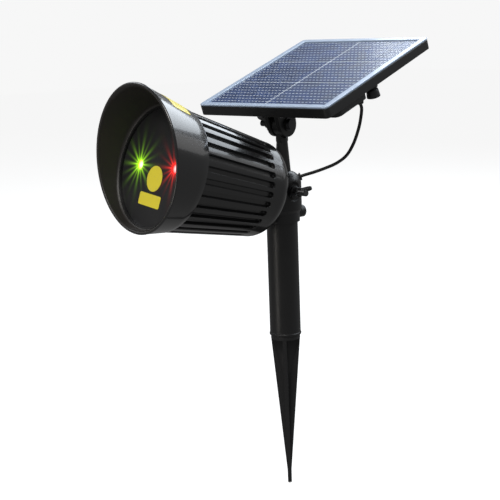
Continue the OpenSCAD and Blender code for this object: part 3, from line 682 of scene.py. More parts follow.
def border(name, width, length, corner, band, low, high, edge, place):
    """Rectangular border with round corners: its cross section has round edges."""
    section = filleted([(0, low), (band, low), (band, high), (0, high)], edge, 4)
    points = []
    for p in section:
        points += [(q.x, q.y, p.y) for q in scaled_outline(width, length, corner, p.x)]
    rows = len(section)
    count = len(points) // rows
    return mesh_from(name, points, quads(rows, count, last_to_first=True), place)


def join_mesh(first, second):
    """Adds the faces of a second mesh to the first."""
    work = bmesh.new()
    work.from_mesh(first)
    work.from_mesh(second)
    work.to_mesh(first)
    work.free()
    bpy.data.meshes.remove(second)


def evaluated(piece):
    """Plain mesh of an object with its modifiers applied."""
    graph = bpy.context.evaluated_depsgraph_get()
    return bpy.data.meshes.new_from_object(piece.evaluated_get(graph))


def softened(name, node, voxel, smooth, keep):
    """Copy of a CAD node with its edges eased, as a mould leaves them."""
    copy = frame["nodes"][node].data.copy()
    work = bmesh.new()
    work.from_mesh(copy)
    bmesh.ops.remove_doubles(work, verts=work.verts, dist=WELD / 2)
    work.to_mesh(copy)
    work.free()
    source = bpy.data.objects.new(name + "_source", copy)
    bpy.context.scene.collection.objects.link(source)
    remesh = source.modifiers.new("skin", "REMESH")
    remesh.mode = "VOXEL"
    remesh.voxel_size = voxel
    ease = source.modifiers.new("ease", "SMOOTH")
    ease.iterations = smooth
    ease.factor = 0.5
    thin = source.modifiers.new("thin", "DECIMATE")
    thin.ratio = keep
    mesh = evaluated(source)
    mesh.name = name
    bpy.data.objects.remove(source)
    mesh.materials.clear()
    return mesh


def eased(name, node, edge):
    """Copy of a CAD node with a small round on each of its outer edges."""
    mesh = frame["nodes"][node].data.copy()
    mesh.name = name
    mesh.materials.clear()
    work = bmesh.new()
    work.from_mesh(mesh)
    bmesh.ops.remove_doubles(work, verts=work.verts, dist=WELD / 2)
    bmesh.ops.dissolve_limit(work, angle_limit=math.radians(2), verts=work.verts, edges=work.edges)
    corners = [line for line in work.edges
               if line.is_manifold and line.is_convex and line.calc_face_angle() > 0.6]
    bmesh.ops.bevel(work, geom=corners, offset=edge, segments=2, profile=0.5, affect="EDGES",
                    clamp_overlap=True)
    bmesh.ops.triangulate(work, faces=work.faces)
    bmesh.ops.recalc_face_normals(work, faces=work.faces)
    work.to_mesh(mesh)
    work.free()
    return mesh


def seat(piece, body, finish, slot, *nodes):
    """Gives a piece its finish and body, and lets it stand for its CAD nodes, if it has any."""
    if finish:
        piece.data.materials.clear()
        piece.data.materials.append(Palette.get(finish))
    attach(piece, body)
    if nodes:
        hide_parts(*nodes)


# ---- Geometry Nodes ----

class Tree:
    """A Geometry Nodes tree with named inputs."""

    def __init__(self, name, inputs):
        self.tree = bpy.data.node_groups.new(name, "GeometryNodeTree")
        face = self.tree.interface
        face.new_socket("Geometry", in_out="INPUT", socket_type="NodeSocketGeometry")
        face.new_socket("Geometry", in_out="OUTPUT", socket_type="NodeSocketGeometry")
        self.sockets = {}
        for label, kind in inputs.items():
            self.sockets[label] = face.new_socket(label, in_out="INPUT", socket_type=kind).identifier
        self.start = self.tree.nodes.new("NodeGroupInput")
        self.end = self.tree.nodes.new("NodeGroupOutput")

    def node(self, kind, links=None, **settings):
        node = self.tree.nodes.new(kind)
        for key, value in settings.items():
            setattr(node, key, value)
        for key, value in (links or {}).items():
            if isinstance(value, bpy.types.NodeSocket):
                self.tree.links.new(value, node.inputs[key])
            else:
                node.inputs[key].default_value = value
        return node

    def finish(self, geometry):
        """Realize Instances, then Set Material, then the output."""
        real = self.node("GeometryNodeRealizeInstances", {"Geometry": geometry})
        welded = self.node("GeometryNodeMergeByDistance", {"Geometry": real.outputs[0],
                                                           "Distance": WELD})
        done = self.node("GeometryNodeSetMaterial", {"Geometry": welded.outputs[0],
                                                     "Material": self.start.outputs["Material"]})
        self.tree.links.new(done.outputs[0], self.end.inputs[0])

    def apply(self, name, base, values):
        """Runs the tree on a base mesh and returns the resulting plain mesh."""
        carrier = bpy.data.objects.new(name + "_carrier", base)
        bpy.context.scene.collection.objects.link(carrier)
        modifier = carrier.modifiers.new("repeat", "NODES")
        modifier.node_group = self.tree
        for label, value in values.items():
            modifier[self.sockets[label]] = value
        mesh = evaluated(carrier)
        mesh.name = name
        carrier.modifiers.remove(modifier)
        bpy.data.objects.remove(carrier)
        return mesh


def ring_tree():
    """Copies one sector round z."""
    tree = Tree("around_axis", {"Sector": "NodeSocketObject", "Count": "NodeSocketInt",
                                "Material": "NodeSocketMaterial"})
    info = tree.node("GeometryNodeObjectInfo", {"Object": tree.start.outputs["Sector"]})
    line = tree.node("GeometryNodeMeshLine", {"Count": tree.start.outputs["Count"],
                                              "Offset": (0.0, 0.0, 0.0)})
    index = tree.node("GeometryNodeInputIndex")
    step = tree.node("ShaderNodeMath", {0: 2 * math.pi, 1: tree.start.outputs["Count"]},
                     operation="DIVIDE")
    angle = tree.node("ShaderNodeMath", {0: index.outputs[0], 1: step.outputs[0]},
                      operation="MULTIPLY")
    turn = tree.node("ShaderNodeCombineXYZ", {"Z": angle.outputs[0]})
    copies = tree.node("GeometryNodeInstanceOnPoints", {
        "Points": line.outputs[0], "Instance": info.outputs["Geometry"],
        "Rotation": turn.outputs[0]})
    tree.finish(copies.outputs[0])
    return tree


def scatter_tree():
    """Puts one part on every point, turned to one direction and clocked at random by up to Spin."""
    tree = Tree("on_places", {"Part": "NodeSocketObject", "Turn": "NodeSocketRotation",
                              "Spin": "NodeSocketFloat", "Seed": "NodeSocketInt",
                              "Material": "NodeSocketMaterial"})
    info = tree.node("GeometryNodeObjectInfo", {"Object": tree.start.outputs["Part"]})
    clock = tree.node("FunctionNodeRandomValue", {3: tree.start.outputs["Spin"],
                                                  "Seed": tree.start.outputs["Seed"]},
                      data_type="FLOAT")
    spin = tree.node("ShaderNodeCombineXYZ", {"Z": clock.outputs[1]})
    local = tree.node("FunctionNodeEulerToRotation", {0: spin.outputs[0]})
    both = tree.node("FunctionNodeRotateRotation", {"Rotation": tree.start.outputs["Turn"],
                                                    "Rotate By": local.outputs[0]},
                     rotation_space="LOCAL")
    copies = tree.node("GeometryNodeInstanceOnPoints", {
        "Points": tree.start.outputs["Geometry"], "Instance": info.outputs["Geometry"],
        "Rotation": both.outputs[0]})
    tree.finish(copies.outputs[0])
    return tree


def repeat_on_panel(tree, node, part, places, spin, seed, finish, slot):
    """One object that holds a part at each of its places on the panel."""
    name = node + "_fine"
    cloud = bpy.data.meshes.new(name + "_places")
    cloud.from_pydata([tuple(panel_frame() @ Vector(place)) for place in places], [], [])
    source = bpy.data.objects.new(name + "_one", part)
    bpy.context.scene.collection.objects.link(source)
    mesh = tree.apply(name, cloud, {"Part": source, "Turn": panel_frame().to_euler(), "Spin": spin,
                                    "Seed": seed, "Material": Palette.get(finish)})
    bpy.data.objects.remove(source)
    seat(add_object(name, mesh, 30), "panel", finish, slot, node)


def smoothstep(value):
    value = min(max(value, 0.0), 1.0)
    return value * value * (3 - 2 * value)


# ---- Pieces ----

LEAD_ROUTE = [(51.5, 42.5, 184), (50, 42, 174), (48, 40.5, 165), (45, 38.5, 156), (40.5, 35.5, 147.5),
              (34, 31, 141.5), (26.5, 26, 137.5), (17.5, 20.5, 133.8)]
GLAND_TIP = (57.9, 32, 5)
GROMMET_TURN = math.radians(60)
GROMMET_RISE = math.radians(19)


def lead_ends():
    """Where the lead leaves the gland and enters the grommet, with its directions there."""
    turn = panel_frame()
    gland = turn @ (Vector(GLAND_TIP) * MM)
    gland_way = turn.to_3x3() @ Vector((0, 0, -1))
    fillet = 10 * MM
    seat_r = HEAD_R - fillet + math.sqrt(fillet ** 2 - (fillet - 5.5 * MM) ** 2)
    outward = Vector((math.cos(GROMMET_RISE) * math.cos(GROMMET_TURN),
                      math.cos(GROMMET_RISE) * math.sin(GROMMET_TURN), math.sin(GROMMET_RISE)))
    base = Vector((seat_r * math.cos(GROMMET_TURN), seat_r * math.sin(GROMMET_TURN),
                   YOKE_HIGH.z - 5.5 * MM))
    return gland, gland_way, base + outward * 1.2 * MM, -outward


def lead_path(steps):
    """Points along the lead, through the same places as its CAD solid."""
    gland, first_way, grommet, last_way = lead_ends()
    stops = [gland] + [Vector(point) * MM for point in LEAD_ROUTE] + [grommet]
    slopes = [(stops[i + 1] - stops[i - 1]) / 2 for i in range(1, len(stops) - 1)]
    slopes = ([first_way * (stops[1] - stops[0]).length] + slopes
              + [last_way * (stops[-1] - stops[-2]).length])
    path = []
    for i in range(len(stops) - 1):
        for k in range(steps):
            t = k / steps
            path.append((2 * t ** 3 - 3 * t ** 2 + 1) * stops[i] + (t ** 3 - 2 * t ** 2 + t) * slopes[i]
                        + (3 * t ** 2 - 2 * t ** 3) * stops[i + 1] + (t ** 3 - t ** 2) * slopes[i + 1])
    path.append(stops[-1])
    return path, first_way, last_way


class PROJECTOR_OT_camera(bpy.types.Operator):
    """Sets the camera at the viewing angle"""
    bl_idname = "projector.camera"
    bl_label = "Camera"

    def execute(self, context):
        view = context.scene.projector_view
        forward = Vector((-math.sin(view.azimuth) * math.cos(view.elevation),
                          math.cos(view.azimuth) * math.cos(view.elevation),
                          -math.sin(view.elevation)))
        right = Vector((math.cos(view.azimuth), math.sin(view.azimuth), 0))
        up = right.cross(forward)
        middle = right * view.side + Vector((0, 0, view.height))
        across = right * math.cos(view.roll) + up * math.sin(view.roll)
        upward = across.cross(forward)
        data = bpy.data.cameras.new("camera")
        data.lens = view.lens
        data.sensor_width = 36
        data.clip_start = 0.01
        camera = bpy.data.objects.new("camera", data)
        context.scene.collection.objects.link(camera)
        turn = Matrix((across, upward, -forward)).transposed().to_4x4()
        camera.matrix_world = Matrix.Translation(middle - forward * view.distance) @ turn
        context.scene.camera = camera
        return {"FINISHED"}


class PROJECTOR_OT_lead(bpy.types.Operator):
    """Makes the lead between the panel and the head"""
    bl_idname = "projector.lead"
    bl_label = "Lead"

    def execute(self, context):
        path, first_way, last_way = lead_path(8)
        radius = panel().lead_d / 2
        sides = 16
        points = []
        side = Vector((1, 0, 0))
        ways = ([first_way] + [(path[i + 1] - path[i - 1]).normalized()
                               for i in range(1, len(path) - 1)] + [last_way])
        for point, way in zip(path, ways):
            side = (side - way * side.dot(way)).normalized()
            other = way.cross(side)
            for k in range(sides):
                angle = 2 * math.pi * k / sides
                points.append(point + radius * (math.cos(angle) * side + math.sin(angle) * other))
        faces = quads(len(path), sides)
        faces.append(tuple(range(sides)))
        faces.append(tuple((len(path) - 1) * sides + k for k in range(sides)))
        piece = add_object("lead", mesh_from("lead", points, faces), 60)
        piece.data.materials.append(Palette.get("rubber"))
        length = sum((path[i + 1] - path[i]).length for i in range(len(path) - 1))
        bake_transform(piece)
        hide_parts("lead_wire")
        return {"FINISHED"}


class PROJECTOR_OT_hood(bpy.types.Operator):
    """Makes the slanting hood with its round lip"""
    bl_idname = "projector.hood"
    bl_label = "Hood"

    def execute(self, context):
        sizes = lamp()
        base_r = hood_base()
        middle = (sizes.hood_top + sizes.hood_low) / 2
        mouth_half = base_r + sizes.hood_flare * middle
        slant = (sizes.hood_top - sizes.hood_low) / (2 * mouth_half + 1 * MM)
        collar_r = collar_radius()
        seat_r = collar_r + 2.2 * MM
        steps = 224
        free_rows = 26
        rise = [0.03, 0.2, 0.4, 0.6, 0.8, 0.93, 0.97]
        points = []
        for step in range(steps):
            angle = 2 * math.pi * step / steps
            pull = slant * math.sin(angle)
            reach = (middle + pull * base_r) / (1 - pull * sizes.hood_flare)
            outline = [(base_r - 0.5 * MM, SEAM_Z), (base_r - 0.15 * MM, SEAM_Z + 0.1 * MM),
                       (base_r, SEAM_Z + 0.5 * MM)]
            outline += [(base_r + sizes.hood_flare * reach * t, SEAM_Z + reach * t) for t in rise]
            lip_r = base_r + sizes.hood_flare * reach - sizes.hood_wall / 2
            bead = sizes.hood_wall / 2
            for k in range(9):
                turn = math.pi * k / 8
                outline.append((lip_r + bead * math.cos(turn),
                                SEAM_Z + reach - bead * 0.9 + bead * 0.9 * math.sin(turn)))
            inner = [(t, base_r + sizes.hood_flare * reach * t - sizes.hood_wall) for t in reversed(rise)]
            floor_t = (RING_FRONT + 1.6 * MM - SEAM_Z) / reach
            outline += [(r, SEAM_Z + reach * t) for t, r in inner if t > floor_t + 0.02]
            missing = free_rows - len(outline)
            last_r, last_z = outline[-1]
            foot_r, foot_z = seat_r + 1.2 * MM, RING_FRONT + 0.8 * MM
            for k in range(missing):
                t = (k + 1) / (missing + 1)
                outline.append((last_r + (foot_r - last_r) * t, last_z + (foot_z - last_z) * t))
            outline += [(foot_r, foot_z), (seat_r, RING_FRONT), (seat_r, PLATE_Z), (collar_r, PLATE_Z),
                        (collar_r, SEAM_Z)]
            points += [(math.cos(angle) * r, math.sin(angle) * r, z) for r, z in outline]
        faces = quads(steps, len(points) // steps, last_to_first=True)
        mesh = mesh_from("hood_shell", points, faces, lamp_frame())
        mesh.materials.append(Palette.get("gloss"))
        mesh.materials.append(Palette.get("inside"))
        back = lamp_frame().inverted()
        for face in mesh.polygons:
            local = back @ face.center
            aside = back.to_3x3() @ face.normal
            inward = aside.x * local.x + aside.y * local.y < 0
            face.material_index = 1 if inward or local.z < PLATE_FRONT and abs(aside.z) > 0.7 else 0
        piece = add_object("hood_shell", mesh, 50)
        seat(piece, "lamp", None, "gloss_black", "hood")
        return {"FINISHED"}


class PROJECTOR_OT_housing(bpy.types.Operator):
    """Makes the ribbed housing from one sector"""
    bl_idname = "projector.housing"
    bl_label = "Ribbed housing"

    def outer_radius(self, z):
        sizes = lamp()
        if z < SHOULDER_Z:
            fillet = 12 * MM
            return sizes.rear_r - fillet + math.sqrt(max(fillet ** 2 - (SHOULDER_Z - z) ** 2, 0))
        grow = (sizes.housing_r - sizes.rear_r) / (SEAM_Z - SHOULDER_Z)
        return sizes.rear_r + grow * (z - SHOULDER_Z)

    def groove(self, s, z):
        """Depth of the groove at a distance s from its middle line."""
        sizes = lamp()
        end = SHOULDER_Z + 8.5 * MM + sizes.groove_w / 2
        away = abs(s) if z > end else math.hypot(s, z - end)
        inside = sizes.groove_w / 2 - away
        return sizes.groove_d * smoothstep((inside + 0.35 * MM) / (0.75 * MM))

    def rows(self):
        """Outline from the rear centre round to the inner rear wall: radius, height, grooved."""
        sizes = lamp()
        rows = [(0.0, REAR_Z, False), (9 * MM, REAR_Z, False), (18 * MM, REAR_Z, False)]
        for k in range(11):
            z = REAR_Z + 12 * MM * (1 - math.cos(math.pi / 2 * k / 10))
            rows.append((self.outer_radius(z), z, False))
        heights = [SHOULDER_Z + 2 * MM * k for k in range(1, 4)]
        heights += [SHOULDER_Z + (7.4 + 0.3 * k) * MM for k in range(17)]
        start = heights[-1]
        heights += [start + (SEAM_Z - start) * k / 16 for k in range(1, 17)]
        rows += [(self.outer_radius(z), z, True) for z in heights]
        core_r = sizes.housing_r - sizes.groove_d - 2.3 * MM
        core_rear = sizes.rear_r - sizes.groove_d - 2 * MM
        inner_z = REAR_Z + 4 * MM
        rows += [(core_r + 0.4 * MM, SEAM_Z + 0.05 * MM, False), (core_r + 0.4 * MM, COLLAR_END, False),
                 (core_r, COLLAR_END, False), (core_r, SEAM_Z, False),
                 (core_rear, SHOULDER_Z + 0.5 * MM, False),
                 (sizes.rear_r - 10.6 * MM, inner_z, False), (0.0, inner_z, False)]
        return rows

    def execute(self, context):
        sizes = lamp()
        half = math.pi / sizes.ribs
        offsets = [0, 0.8, 1.3, 1.6, 1.8, 1.95, 2.1, 2.25, 2.45, 2.7]
        places = [(offset * MM, None) for offset in offsets] + [(None, 0.45), (None, 0.75), (None, 1.0)]
        places = [(-s if s is not None else None, -t if t is not None else None)
                  for s, t in reversed(places[1:])] + places
        rows = self.rows()
        points = []
        for s, t in places:
            for radius, z, grooved in rows:
                reach = max(radius, sizes.rear_r - 2 * MM)
                last = 2.7 * MM / reach
                if s is not None:
                    angle = s / reach
                else:
                    angle = math.copysign(last + (half - last) * abs(t), t)
                depth = self.groove(abs(angle) * reach, z) if grooved else 0.0
                crown = 0.25 * MM * (1 - abs(angle) / half) ** 2 if grooved else 0.0
                r = radius - depth - crown * 0.3
                points.append((math.cos(angle) * r, math.sin(angle) * r, z))
        count = len(rows)
        faces = [(i * count + row, (i + 1) * count + row, (i + 1) * count + row + 1, i * count + row + 1)
                 for i in range(len(places) - 1) for row in range(count - 1)]
        sector = bpy.data.objects.new("sector", bpy.data.meshes.new("sector"))
        sector.data.from_pydata(points, [], faces)
        context.scene.collection.objects.link(sector)
        mesh = ring_tree().apply("ribbed_housing", bpy.data.meshes.new("empty"), {
            "Sector": sector, "Count": sizes.ribs, "Material": Palette.get("rib")})
        bpy.data.objects.remove(sector)
        work = bmesh.new()
        work.from_mesh(mesh)
        bmesh.ops.remove_doubles(work, verts=work.verts, dist=WELD * 1.5)
        bmesh.ops.dissolve_degenerate(work, edges=work.edges, dist=WELD)
        bmesh.ops.rotate(work, verts=work.verts, matrix=Matrix.Rotation(half, 3, "Z"))
        work.transform(lamp_frame())
        bmesh.ops.recalc_face_normals(work, faces=work.faces)
        work.to_mesh(mesh)
        work.free()
        piece = add_object("ribbed_housing", mesh, 48)
        seat(piece, "lamp", "rib", "gloss_black", "finned_housing")
        collar_r = collar_radius()
        collar = turned("housing_collar", [
            (collar_r - 2 * MM, SEAM_Z - 0.2 * MM), (collar_r - 0.1 * MM, SEAM_Z - 0.2 * MM),
            (collar_r - 0.1 * MM, COLLAR_END - 0.1 * MM), (collar_r - 2 * MM, COLLAR_END - 0.1 * MM)],
            0.3 * MM, lamp_frame())
        seat(add_object("housing_collar", collar), "lamp", "satin", "gloss_black")
        return {"FINISHED"}


class PROJECTOR_OT_lamp_front(bpy.types.Operator):
    """Finishes the plate, its lights and its patches"""
    bl_idname = "projector.lamp_front"
    bl_label = "Lamp front"

    def bent(self, p, size, height):
        """A point of the film, drawn towards its middle by size and bent round the hood."""
        up, aside = 19 * MM, 9 * MM
        z = SEAM_Z + up + p.y * size
        r = hood_base() + lamp().hood_flare * (z - SEAM_Z) + height
        angle = math.radians(90) - (aside + p.x * size) / hood_base()
        return math.cos(angle) * r, math.sin(angle) * r, z

    def hood_film(self):
        """Plain film bent round the top of the hood, with round corners."""
        width, length = 40 * MM, 18 * MM
        under_z, edge_z, top_z = 0.04 * MM, 0.22 * MM, 0.27 * MM
        outline = finely(round_box_outline(width, length, 2.5 * MM, 6), 1.2 * MM)
        rings = 8
        shrinks = [1 - k / rings for k in range(1, rings)]
        points = []
        for height, inset, sizes in ((under_z, 0.0, [1.0]), (edge_z, 0.0, [1.0]),
                                     (top_z, 0.12 * MM, [1.0] + shrinks)):
            for shrink in sizes:
                points += [self.bent(p, shrink * (1 - inset / length), height) for p in outline]
        count = len(outline)
        loops = len(points) // count
        faces = quads(loops, count)
        faces.append(tuple((loops - 1) * count + k for k in range(count)))
        under = len(points)
        for shrink in shrinks:
            points += [self.bent(p, shrink, under_z) for p in outline]
        first = list(range(count))
        for ring in range(rings - 1):
            second = [under + ring * count + k for k in range(count)]
            faces += [(first[(k + 1) % count], first[k], second[k], second[(k + 1) % count])
                      for k in range(count)]
            first = second
        faces.append(tuple(reversed(first)))
        piece = add_object("hood_film", mesh_from("hood_film", points, faces, lamp_frame()), 50)
        seat(piece, "lamp", "patch", "yellow_film", "hood_patch")

    def execute(self, context):
        paint("plate", "front_plate")
        paint("gloss", "retaining_ring")
        paint("green", "green_window")
        paint("red", "red_window")
        paint("patch", "plate_patch_round", "plate_patch_strip")
        self.hood_film()
        paint("grate", "green_grating", "red_grating")
        paint("brass", "green_module", "red_module", "board_spacers")
        paint("alloy", "laser_block")
        paint("board", "driver_board")
        paint("chip", "board_parts", "battery_cradle")
        paint("zinc", "laser_screws", "board_screws", "cradle_screws", "lug_screws")
        paint("wrap", "battery_cell")
        paint("rubber", "plate_seal")
        return {"FINISHED"}


class PROJECTOR_OT_stake(bpy.types.Operator):
    """Makes the post tube and the spike"""
    bl_idname = "projector.stake"
    bl_label = "Stake"

    def execute(self, context):
        low, high = POST_LOW.z, POST_HIGH.z
        wall = 2 * MM
        bead = POST_R + 0.45 * MM
        tube = turned("post", [(POST_R - wall, low), (bead, low), (bead, low + 1.5 * MM),
                               (POST_R, low + 2.1 * MM), (POST_R, high), (POST_R - wall, high)],
                      [0.3 * MM, 0.6 * MM, 0.5 * MM, 0.4 * MM, 0.35 * MM, 0.3 * MM], Matrix.Identity(4))
        seat(add_object("post", tube), "stake", "satin", "satin_black", "post_tube")
        spike = eased("spike", "ground_spike", 0.35 * MM)
        seat(add_object("spike", spike, 35), "stake", "matte", "spike_black", "ground_spike")
        return {"FINISHED"}


class PROJECTOR_OT_head(bpy.types.Operator):
    """Makes the swivel head, its arm and its hand nuts"""
    bl_idname = "projector.head"
    bl_label = "Head"

    def execute(self, context):
        pieces = [
            ("yoke", "head_yoke", "head", "satin", "satin_black", 0.42, 5, 0.35),
            ("arm", "panel_arm", "head", "satin", "satin_black", 0.3, 5, 0.35),
            ("lug", "tilt_lug", "lamp", "satin", "satin_black", 0.35, 4, 0.35),
            ("tilt_nut", "tilt_wing_nut", "tilt_nut", "knob", "knob_black", 0.18, 6, 0.4),
            ("panel_nut", "panel_wing_nut", "panel_nut", "knob", "knob_black", 0.18, 6, 0.4),
            ("lock", "lock_knob", "knob", "knob", "knob_black", 0.2, 5, 0.4),
            ("clevis", "hinge_clevis", "panel", "satin", "satin_black", 0.3, 5, 0.35),
            ("grommet", "lead_grommet", "head", "rubber", "black_rubber", 0.18, 5, 0.4),
            ("gland", "lead_gland", "panel", "rubber", "black_rubber", 0.18, 5, 0.4),
        ]
        for name, node, body, finish, slot, voxel, smooth, keep in pieces:
            mesh = softened(name, node, voxel * MM, smooth, keep)
            seat(add_object(name, mesh, 180), body, finish, slot, node)
        paint("dark", "arm_set_screw", "tilt_washers", "panel_pivot_washers")
        paint("bolt_x", "tilt_bolt")
        paint("bolt_panel", "panel_pivot_bolt")
        return {"FINISHED"}


def cross_screw(head_r, head_t, shank_r, shank_l):
    """Mesh of a screw along +z, head at z = 0 and below, with a crossed recess."""
    axis_r = 0.0001 * MM
    outline = filleted([(axis_r, -head_t), (head_r, -head_t), (head_r, 0), (shank_r, 0),
                        (shank_r, shank_l), (axis_r, shank_l)],
                       [0, head_t * 0.7, 0.1 * MM, 0.05 * MM, shank_r * 0.4, 0], 4)
    steps = 48
    points = []
    for step in range(steps):
        angle = 2 * math.pi * step / steps
        for p in outline:
            recess = 0.0
            if p.y < -head_t * 0.6:
                arm = min(abs(math.cos(angle)), abs(math.sin(angle))) * p.x
                if arm < 0.28 * MM and p.x < head_r * 0.72:
                    recess = head_t * 0.45
            points.append((math.cos(angle) * p.x, math.sin(angle) * p.x, p.y + recess))
    return mesh_from("screw", points, quads(steps, len(outline), last_to_first=True, round_ring=False))


class PROJECTOR_OT_panel_screws(bpy.types.Operator):
    """Puts crossed screws in the panel's back, its box and its clevis"""
    bl_idname = "projector.panel_screws"
    bl_label = "Panel screws"

    def execute(self, context):
        sizes = panel()
        middle_y = sizes.length / 2 - sizes.overhang
        edge = 5.4 * MM
        cover = [(x * (sizes.width / 2 - edge), middle_y + y * (sizes.length / 2 - edge), UNDER_Z + 1 * MM)
                 for x in (-1, 1) for y in (-1, 0, 1)]
        box_x = sizes.width / 2 - 24 * MM
        box_y = 17.5 * MM
        box = [(box_x, box_y + s * 16.5 * MM, 9.8 * MM) for s in (-1, 1)]
        clevis = [(x * 11.4 * MM, y * 9 * MM, 12 * MM) for x in (-1, 1) for y in (-1, 1)]
        tree = scatter_tree()
        for node, places, head_r, head_t, shank_r, shank_l, seed in (
                ("cover_screws", cover, 2.1, 0.9, 1.2, 2.4, 3),
                ("box_screws", box, 2.1, 1.5, 1.2, 7.4, 5),
                ("clevis_screws", clevis, 2.6, 1.8, 1.5, 5.4, 8)):
            part = cross_screw(head_r * MM, head_t * MM, shank_r * MM, shank_l * MM)
            repeat_on_panel(tree, node, part, places, math.pi, seed, "zinc", "bright_screw")
        return {"FINISHED"}


class PROJECTOR_OT_panel(bpy.types.Operator):
    """Makes the panel's tray, bezel, glass, cells, box and switch"""
    bl_idname = "projector.panel"
    bl_label = "Solar panel"

    def cells(self, wide, long):
        """Six cells in two strings, with two flat ribbons on each."""
        margin, gap = 1.0 * MM, 1.5 * MM
        cell_w = (wide - 2 * margin - gap) / 2
        cell_l = (long - 2 * margin - 2 * gap) / 3
        middle = panel().length / 2 - panel().overhang
        centres = [(x * (cell_w + gap) / 2, middle + y * (cell_l + gap), CELL_Z)
                   for x in (-1, 1) for y in (-1, 0, 1)]
        tree = scatter_tree()
        cell = slab("cell", cell_w, cell_l, 1.2 * MM, 0.0, 0.25 * MM, 0.03 * MM, Matrix.Identity(4))
        repeat_on_panel(tree, "solar_cells", cell, centres, 0.0, 1, "cell", "cell_blue")
        ribbon = slab("ribbon", 0.9 * MM, cell_l - 1 * MM, 0.3 * MM, 0.0, 0.06 * MM, 0.01 * MM,
                      Matrix.Identity(4))
        lines = [(x + side * cell_w / 4, y, z + 0.26 * MM) for x, y, z in centres for side in (-1, 1)]
        repeat_on_panel(tree, "cell_ribbons", ribbon, lines, 0.0, 2, "cell", "ribbon_tin")

    def execute(self, context):
        sizes = panel()
        place = panel_frame() @ Matrix.Translation((0, sizes.length / 2 - sizes.overhang, 0))
        frame_top = border("bezel_frame", sizes.width, sizes.length, CORNER_R, sizes.bezel_w,
                           BEZEL_Z, PANEL_TOP, 0.6 * MM, place)
        lining_t = 1 * MM
        lining = border("bezel_lining", sizes.width - 2 * (sizes.bezel_w - lining_t),
                        sizes.length - 2 * (sizes.bezel_w - lining_t), 1 * MM, lining_t,
                        GLASS_Z + 0.05 * MM, BEZEL_Z + 0.2 * MM, 0.15 * MM, place)
        join_mesh(frame_top, lining)
        seat(add_object("bezel_frame", frame_top, 50), "panel", "bezel", "silver_bezel", "bezel")
        tray = border("tray_wall", sizes.width, sizes.length, CORNER_R, 3 * MM, UNDER_Z, BEZEL_Z,
                      0.5 * MM, place)
        seat(add_object("tray_wall", tray, 50), "panel", "satin", "satin_black", "panel_tray")
        ledge = border("tray_ledge", sizes.width - 5.9 * MM, sizes.length - 5.9 * MM, 2 * MM, 5 * MM,
                       LEDGE_Z, LEDGE_Z + 2 * MM, 0.2 * MM, place)
        seat(add_object("tray_ledge", ledge), "panel", "satin", "satin_black")
        play = 0.1 * MM
        wide = sizes.width - 2 * sizes.bezel_w - play
        long = sizes.length - 2 * sizes.bezel_w - play
        sheet = slab("white_sheet", wide, long, 0.8 * MM, GLASS_Z, CELL_Z - 0.02 * MM, 0.1 * MM, place)
        seat(add_object("white_sheet", sheet, 50), "panel", "sheet", "white_sheet", "backsheet")
        self.cells(wide, long)
        pane = slab("glass_pane", wide, long, 0.8 * MM, CELL_Z + 0.5 * MM, PANEL_TOP - 0.3 * MM, 0.1 * MM,
                    place)
        seat(add_object("glass_pane", pane, 50), "panel", "glass", "clear_glass", "cover_glass")
        case = softened("control_case", "control_box", 0.35 * MM, 4, 0.35)
        seat(add_object("control_case", case, 180), "panel", "satin", "satin_black", "control_box")
        paint("satin", "switch_body")
        button = eased("switch_button", "switch_cap", 0.4 * MM)
        seat(add_object("switch_button", button, 40), "switch", "knob", "knob_black", "switch_cap")
        paint("satin", "back_cover")
        paint("board", "charge_board")
        paint("chip", "charge_parts")
        return {"FINISHED"}


def soft_light(name, place, target, size, power, colour):
    """Rectangular lamp that faces a target and isn't seen itself."""
    data = bpy.data.lights.new(name, "AREA")
    data.shape = "RECTANGLE"
    data.size, data.size_y = size
    data.energy = power
    data.color = colour
    light = bpy.data.objects.new(name, data)
    light.visible_camera = False
    bpy.context.scene.collection.objects.link(light)
    away = Vector(place) - Vector(target)
    light.matrix_world = Matrix.Translation(place) @ away.to_track_quat("Z", "Y").to_matrix().to_4x4()


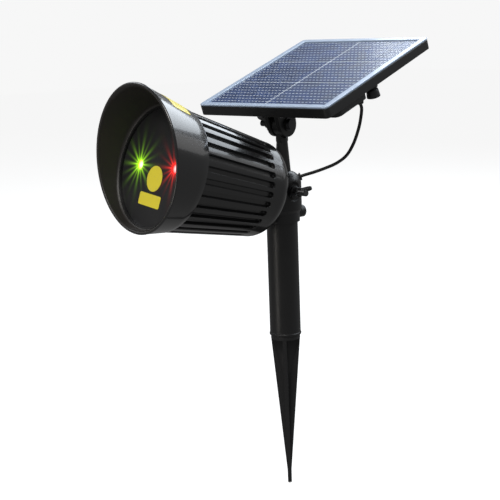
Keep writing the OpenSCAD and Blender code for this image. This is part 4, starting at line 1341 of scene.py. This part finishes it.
class PROJECTOR_OT_stage(bpy.types.Operator):
    """Lays the pale floor and sets the studio light"""
    bl_idname = "projector.stage"
    bl_label = "Stage"

    def execute(self, context):
        floor_z = CAD_BOX[0][2] - 0.5 * MM
        data = bpy.data.meshes.new("floor")
        reach = 6.0
        data.from_pydata([(-reach, -reach, floor_z), (reach, -reach, floor_z), (reach, reach, floor_z),
                          (-reach, reach, floor_z)], [], [(0, 1, 2, 3)])
        floor = bpy.data.objects.new("floor", data)
        context.scene.collection.objects.link(floor)
        shade = Shade("floor_white", Roughness=0.95, Specular_IOR_Level=0.0, Emission_Strength=FLOOR_GLOW)
        shade.put("Base Color", (FLOOR_GREY, FLOOR_GREY, FLOOR_GREY, 1.0))
        shade.put("Emission Color", (1.0, 1.0, 1.0, 1.0))
        data.materials.append(shade.material)
        floor.visible_diffuse = False
        floor.visible_glossy = False
        world = context.scene.world or bpy.data.worlds.new("studio")
        context.scene.world = world
        world.use_nodes = True
        tree = world.node_tree
        tree.nodes.clear()
        seen = tree.nodes.new("ShaderNodeLightPath")
        amount = tree.nodes.new("ShaderNodeMapRange")
        tree.links.new(seen.outputs["Is Camera Ray"], amount.inputs["Value"])
        amount.inputs["To Min"].default_value = SKY_LIGHT
        amount.inputs["To Max"].default_value = SKY_SEEN
        sky = tree.nodes.new("ShaderNodeBackground")
        sky.inputs["Color"].default_value = (1.0, 1.0, 1.0, 1.0)
        tree.links.new(amount.outputs["Result"], sky.inputs["Strength"])
        end = tree.nodes.new("ShaderNodeOutputWorld")
        tree.links.new(sky.outputs[0], end.inputs["Surface"])
        context.scene.view_settings.view_transform = "Standard"
        target = Vector((0, 0, 0.15))
        for name, azimuth, height, away, size, glow, colour in (
                ("sky", 97, 45, 1.5, (2.12, 1.15), 4.0, (0.86, 0.93, 1.0)),
                ("side", 72, 15, 1.5, (0.6, 0.34), 0.8, (1.0, 1.0, 1.0)),
                ("key", -68, 48, 1.3, (0.6, 0.6), 8.0, (1.0, 0.98, 0.95)),
                ("low", -92, -14, 0.62, (0.10, 0.28), 3.4, (1.0, 0.95, 0.88)),
                ("back", 200, 38, 1.4, (0.8, 0.5), 3.0, (0.92, 0.96, 1.0))):
            way = Vector((math.cos(math.radians(height)) * math.cos(math.radians(azimuth)),
                          math.cos(math.radians(height)) * math.sin(math.radians(azimuth)),
                          math.sin(math.radians(height))))
            soft_light(name, target + way * away, target, size, glow * math.pi * size[0] * size[1], colour)
        return {"FINISHED"}


STEPS = (PROJECTOR_OT_camera, PROJECTOR_OT_lead, PROJECTOR_OT_hood, PROJECTOR_OT_housing,
         PROJECTOR_OT_lamp_front, PROJECTOR_OT_stake, PROJECTOR_OT_head, PROJECTOR_OT_panel,
         PROJECTOR_OT_panel_screws, PROJECTOR_OT_stage)


class PROJECTOR_PT_pieces(bpy.types.Panel):
    """Lists the pieces"""
    bl_label = "Light projector"
    bl_idname = "PROJECTOR_PT_pieces"
    bl_space_type = "VIEW_3D"
    bl_region_type = "UI"
    bl_category = "Projector"

    def draw(self, context):
        for step in STEPS:
            self.layout.operator(step.bl_idname)
        for group in (lamp(), panel(), finishes(), context.scene.projector_view):
            for key in group.__annotations__:
                self.layout.prop(group, key)


GROUPS = {"projector_lamp": LampSizes, "projector_panel": PanelSizes, "projector_view": ViewSizes,
          "projector_finishes": Finishes}


def register():
    for kind in (*GROUPS.values(), *STEPS, PROJECTOR_PT_pieces):
        bpy.utils.register_class(kind)
    for name, kind in GROUPS.items():
        setattr(bpy.types.Scene, name, bpy.props.PointerProperty(type=kind))


def unregister():
    for name in GROUPS:
        delattr(bpy.types.Scene, name)
    for kind in reversed((*GROUPS.values(), *STEPS, PROJECTOR_PT_pieces)):
        bpy.utils.unregister_class(kind)


def main():
    register()
    for step in STEPS:
        group, name = step.bl_idname.split(".")
        getattr(getattr(bpy.ops, group), name)()


if __name__ == "__main__":
    main()
